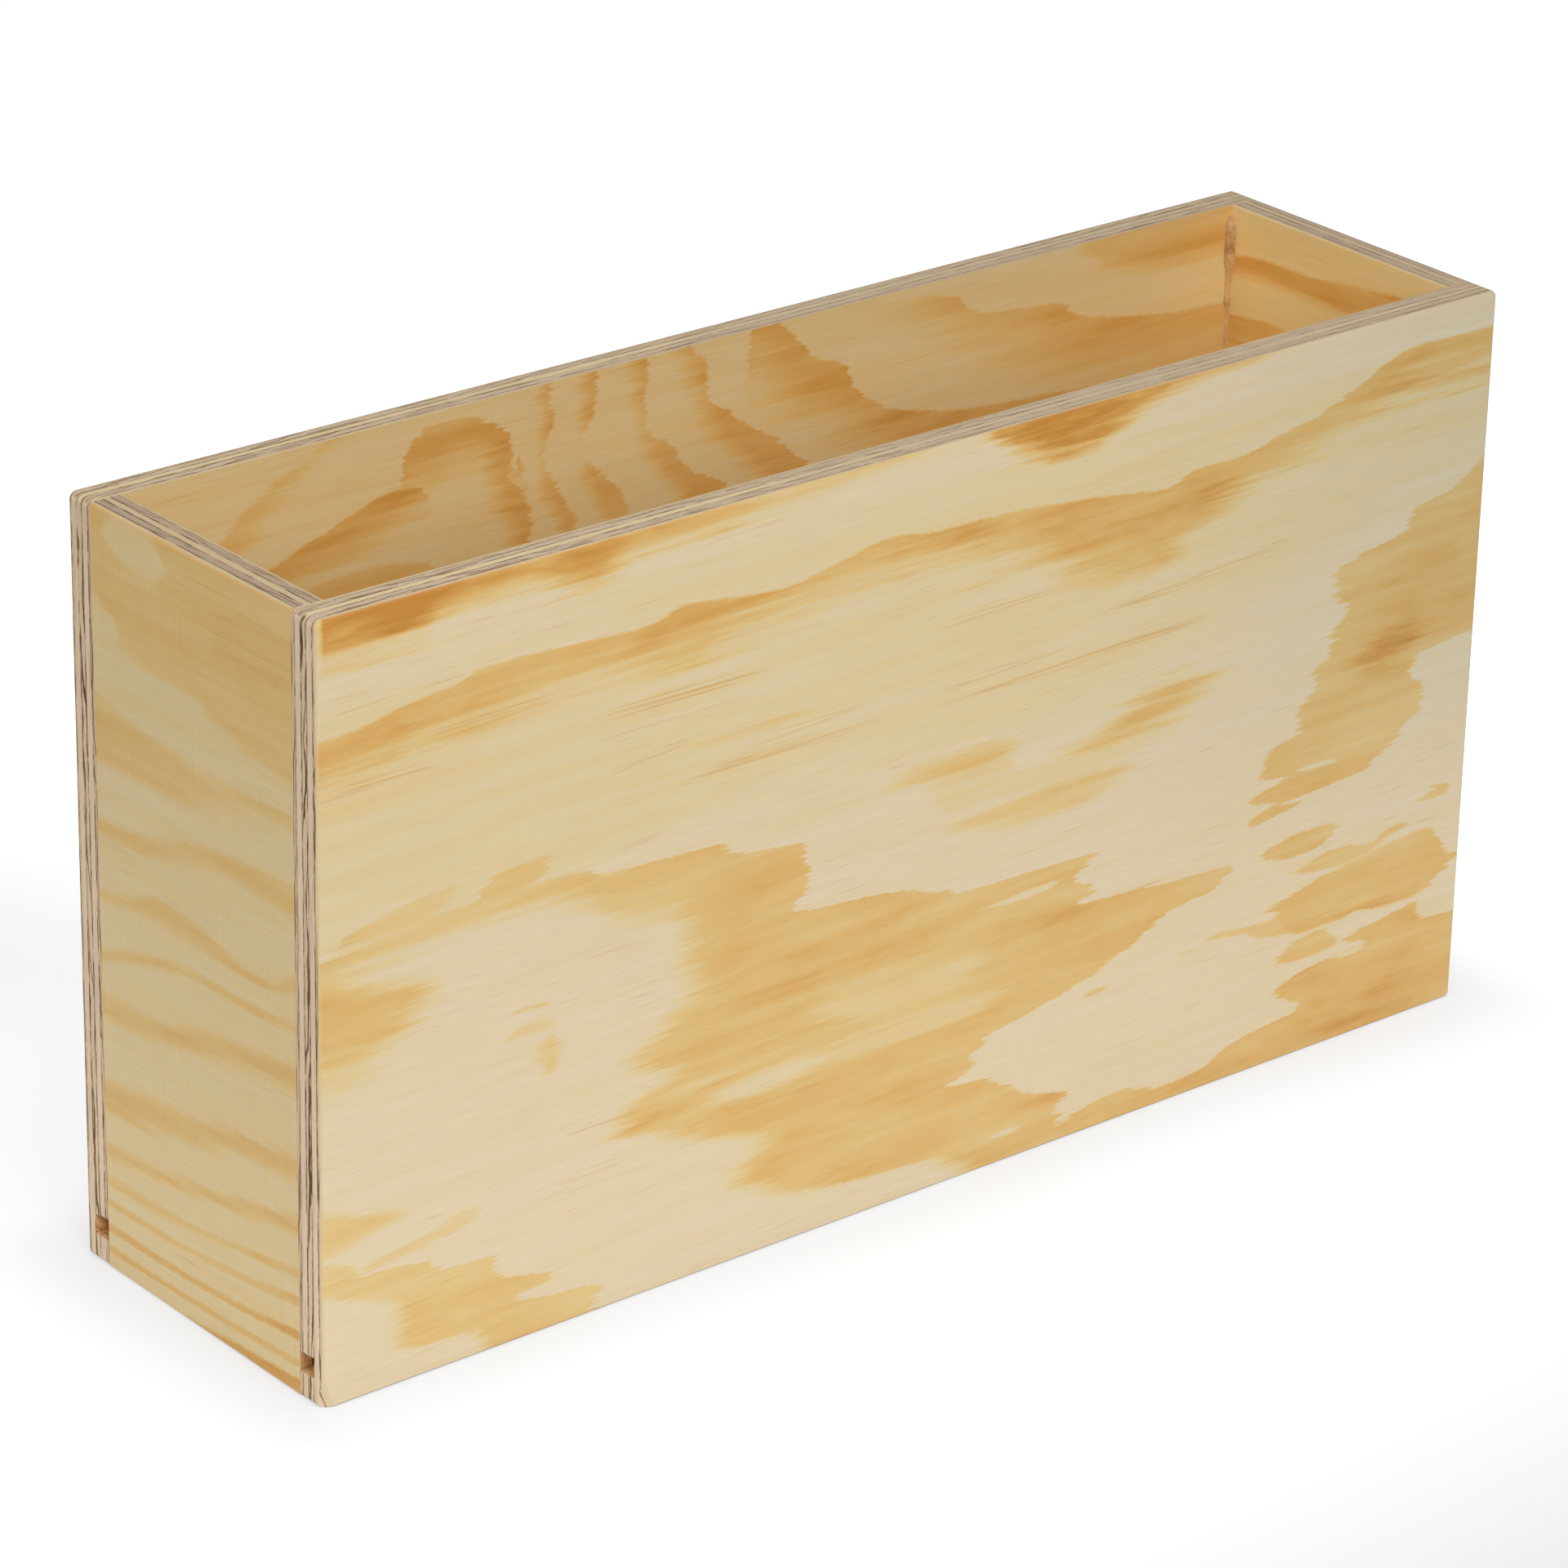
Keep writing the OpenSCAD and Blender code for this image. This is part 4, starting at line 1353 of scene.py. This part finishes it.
def makeBead(node, material):
    low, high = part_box(node)
    middle = (low + high) / 2
    outX = -1 if middle.x < 0 else 1
    outY = -1 if middle.y < 0 else 1
    corner = Vector((low.x if outX < 0 else high.x, low.y if outY < 0 else high.y, middle.z))
    bpy.ops.object.select_all(action="DESELECT")
    bpy.ops.mesh.primitive_cylinder_add(vertices=glueBead["sides"], radius=high.x - low.x,
                                        depth=high.z - low.z, location=corner)
    bead = bpy.context.active_object
    bead.name = node + "_lumps"
    bpy.ops.object.transform_apply(location=True, rotation=True, scale=True)
    bpy.ops.object.mode_set(mode="EDIT")
    cutAway(corner, (outX, 0, 0))
    cutAway(corner, (0, outY, 0))
    pickEdges(bead, lambda a, b: abs(a.z - b.z) > glueBead["longEdge"])
    bpy.ops.mesh.subdivide(number_cuts=glueBead["cuts"])
    # a wide head below the rim, a neck, a thin body, and a small tip
    bpy.ops.mesh.select_mode(type="VERT")
    head = high.z - glueBead["headLength"]
    neck = head - glueBead["headLength"]
    tip = high.z - glueBead["tipLength"]
    stretch = glueBead["headStretch"]
    for bottom, top, swell, rise in (
            (-math.inf, neck, glueBead["bodySwell"], 1), (neck, head, glueBead["neckSwell"], 1),
            (tip, math.inf, glueBead["tipSwell"], stretch), (head, tip, glueBead["headSwell"], stretch)):
        bpy.ops.mesh.select_all(action="DESELECT")
        shape = bmesh.from_edit_mesh(bead.data)
        for vert in shape.verts:
            vert.select_set(bottom <= vert.co.z < top)
        shape.select_flush_mode()
        bmesh.update_edit_mesh(bead.data)
        bpy.ops.transform.resize(value=(swell, swell, rise), center_override=(corner.x, corner.y, head))
    bpy.ops.object.mode_set(mode="OBJECT")
    free = bead.vertex_groups.new(name="roundSide")
    loose = [v.index for v in bead.data.vertices if not near(v.co.x, corner.x) and not near(v.co.y, corner.y)]
    free.add(loose, 1.0, "REPLACE")
    lumps = bpy.data.textures.new(node + "_lumps", "CLOUDS")
    lumps.noise_scale = glueBead["lumpSize"]
    lumps.noise_depth = glueBead["lumpDepth"]
    push = bead.modifiers.new("lumps", "DISPLACE")
    push.texture = lumps
    push.texture_coords = "LOCAL"
    push.vertex_group = free.name
    push.strength = glueBead["lump"]
    push.mid_level = glueBead["lumpMiddle"]
    bpy.ops.object.modifier_apply(modifier=push.name)
    bpy.ops.object.shade_smooth_by_angle(angle=math.radians(glueBead["smoothAngle"]))
    bead.data.materials.append(material)
    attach(bead, "root")
    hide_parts(node)


driedGlue = glueMaterial()
for corner in ("front_left", "front_right", "back_left", "back_right"):
    makeBead("glue_bead_" + corner, driedGlue)
print("glue beads made")
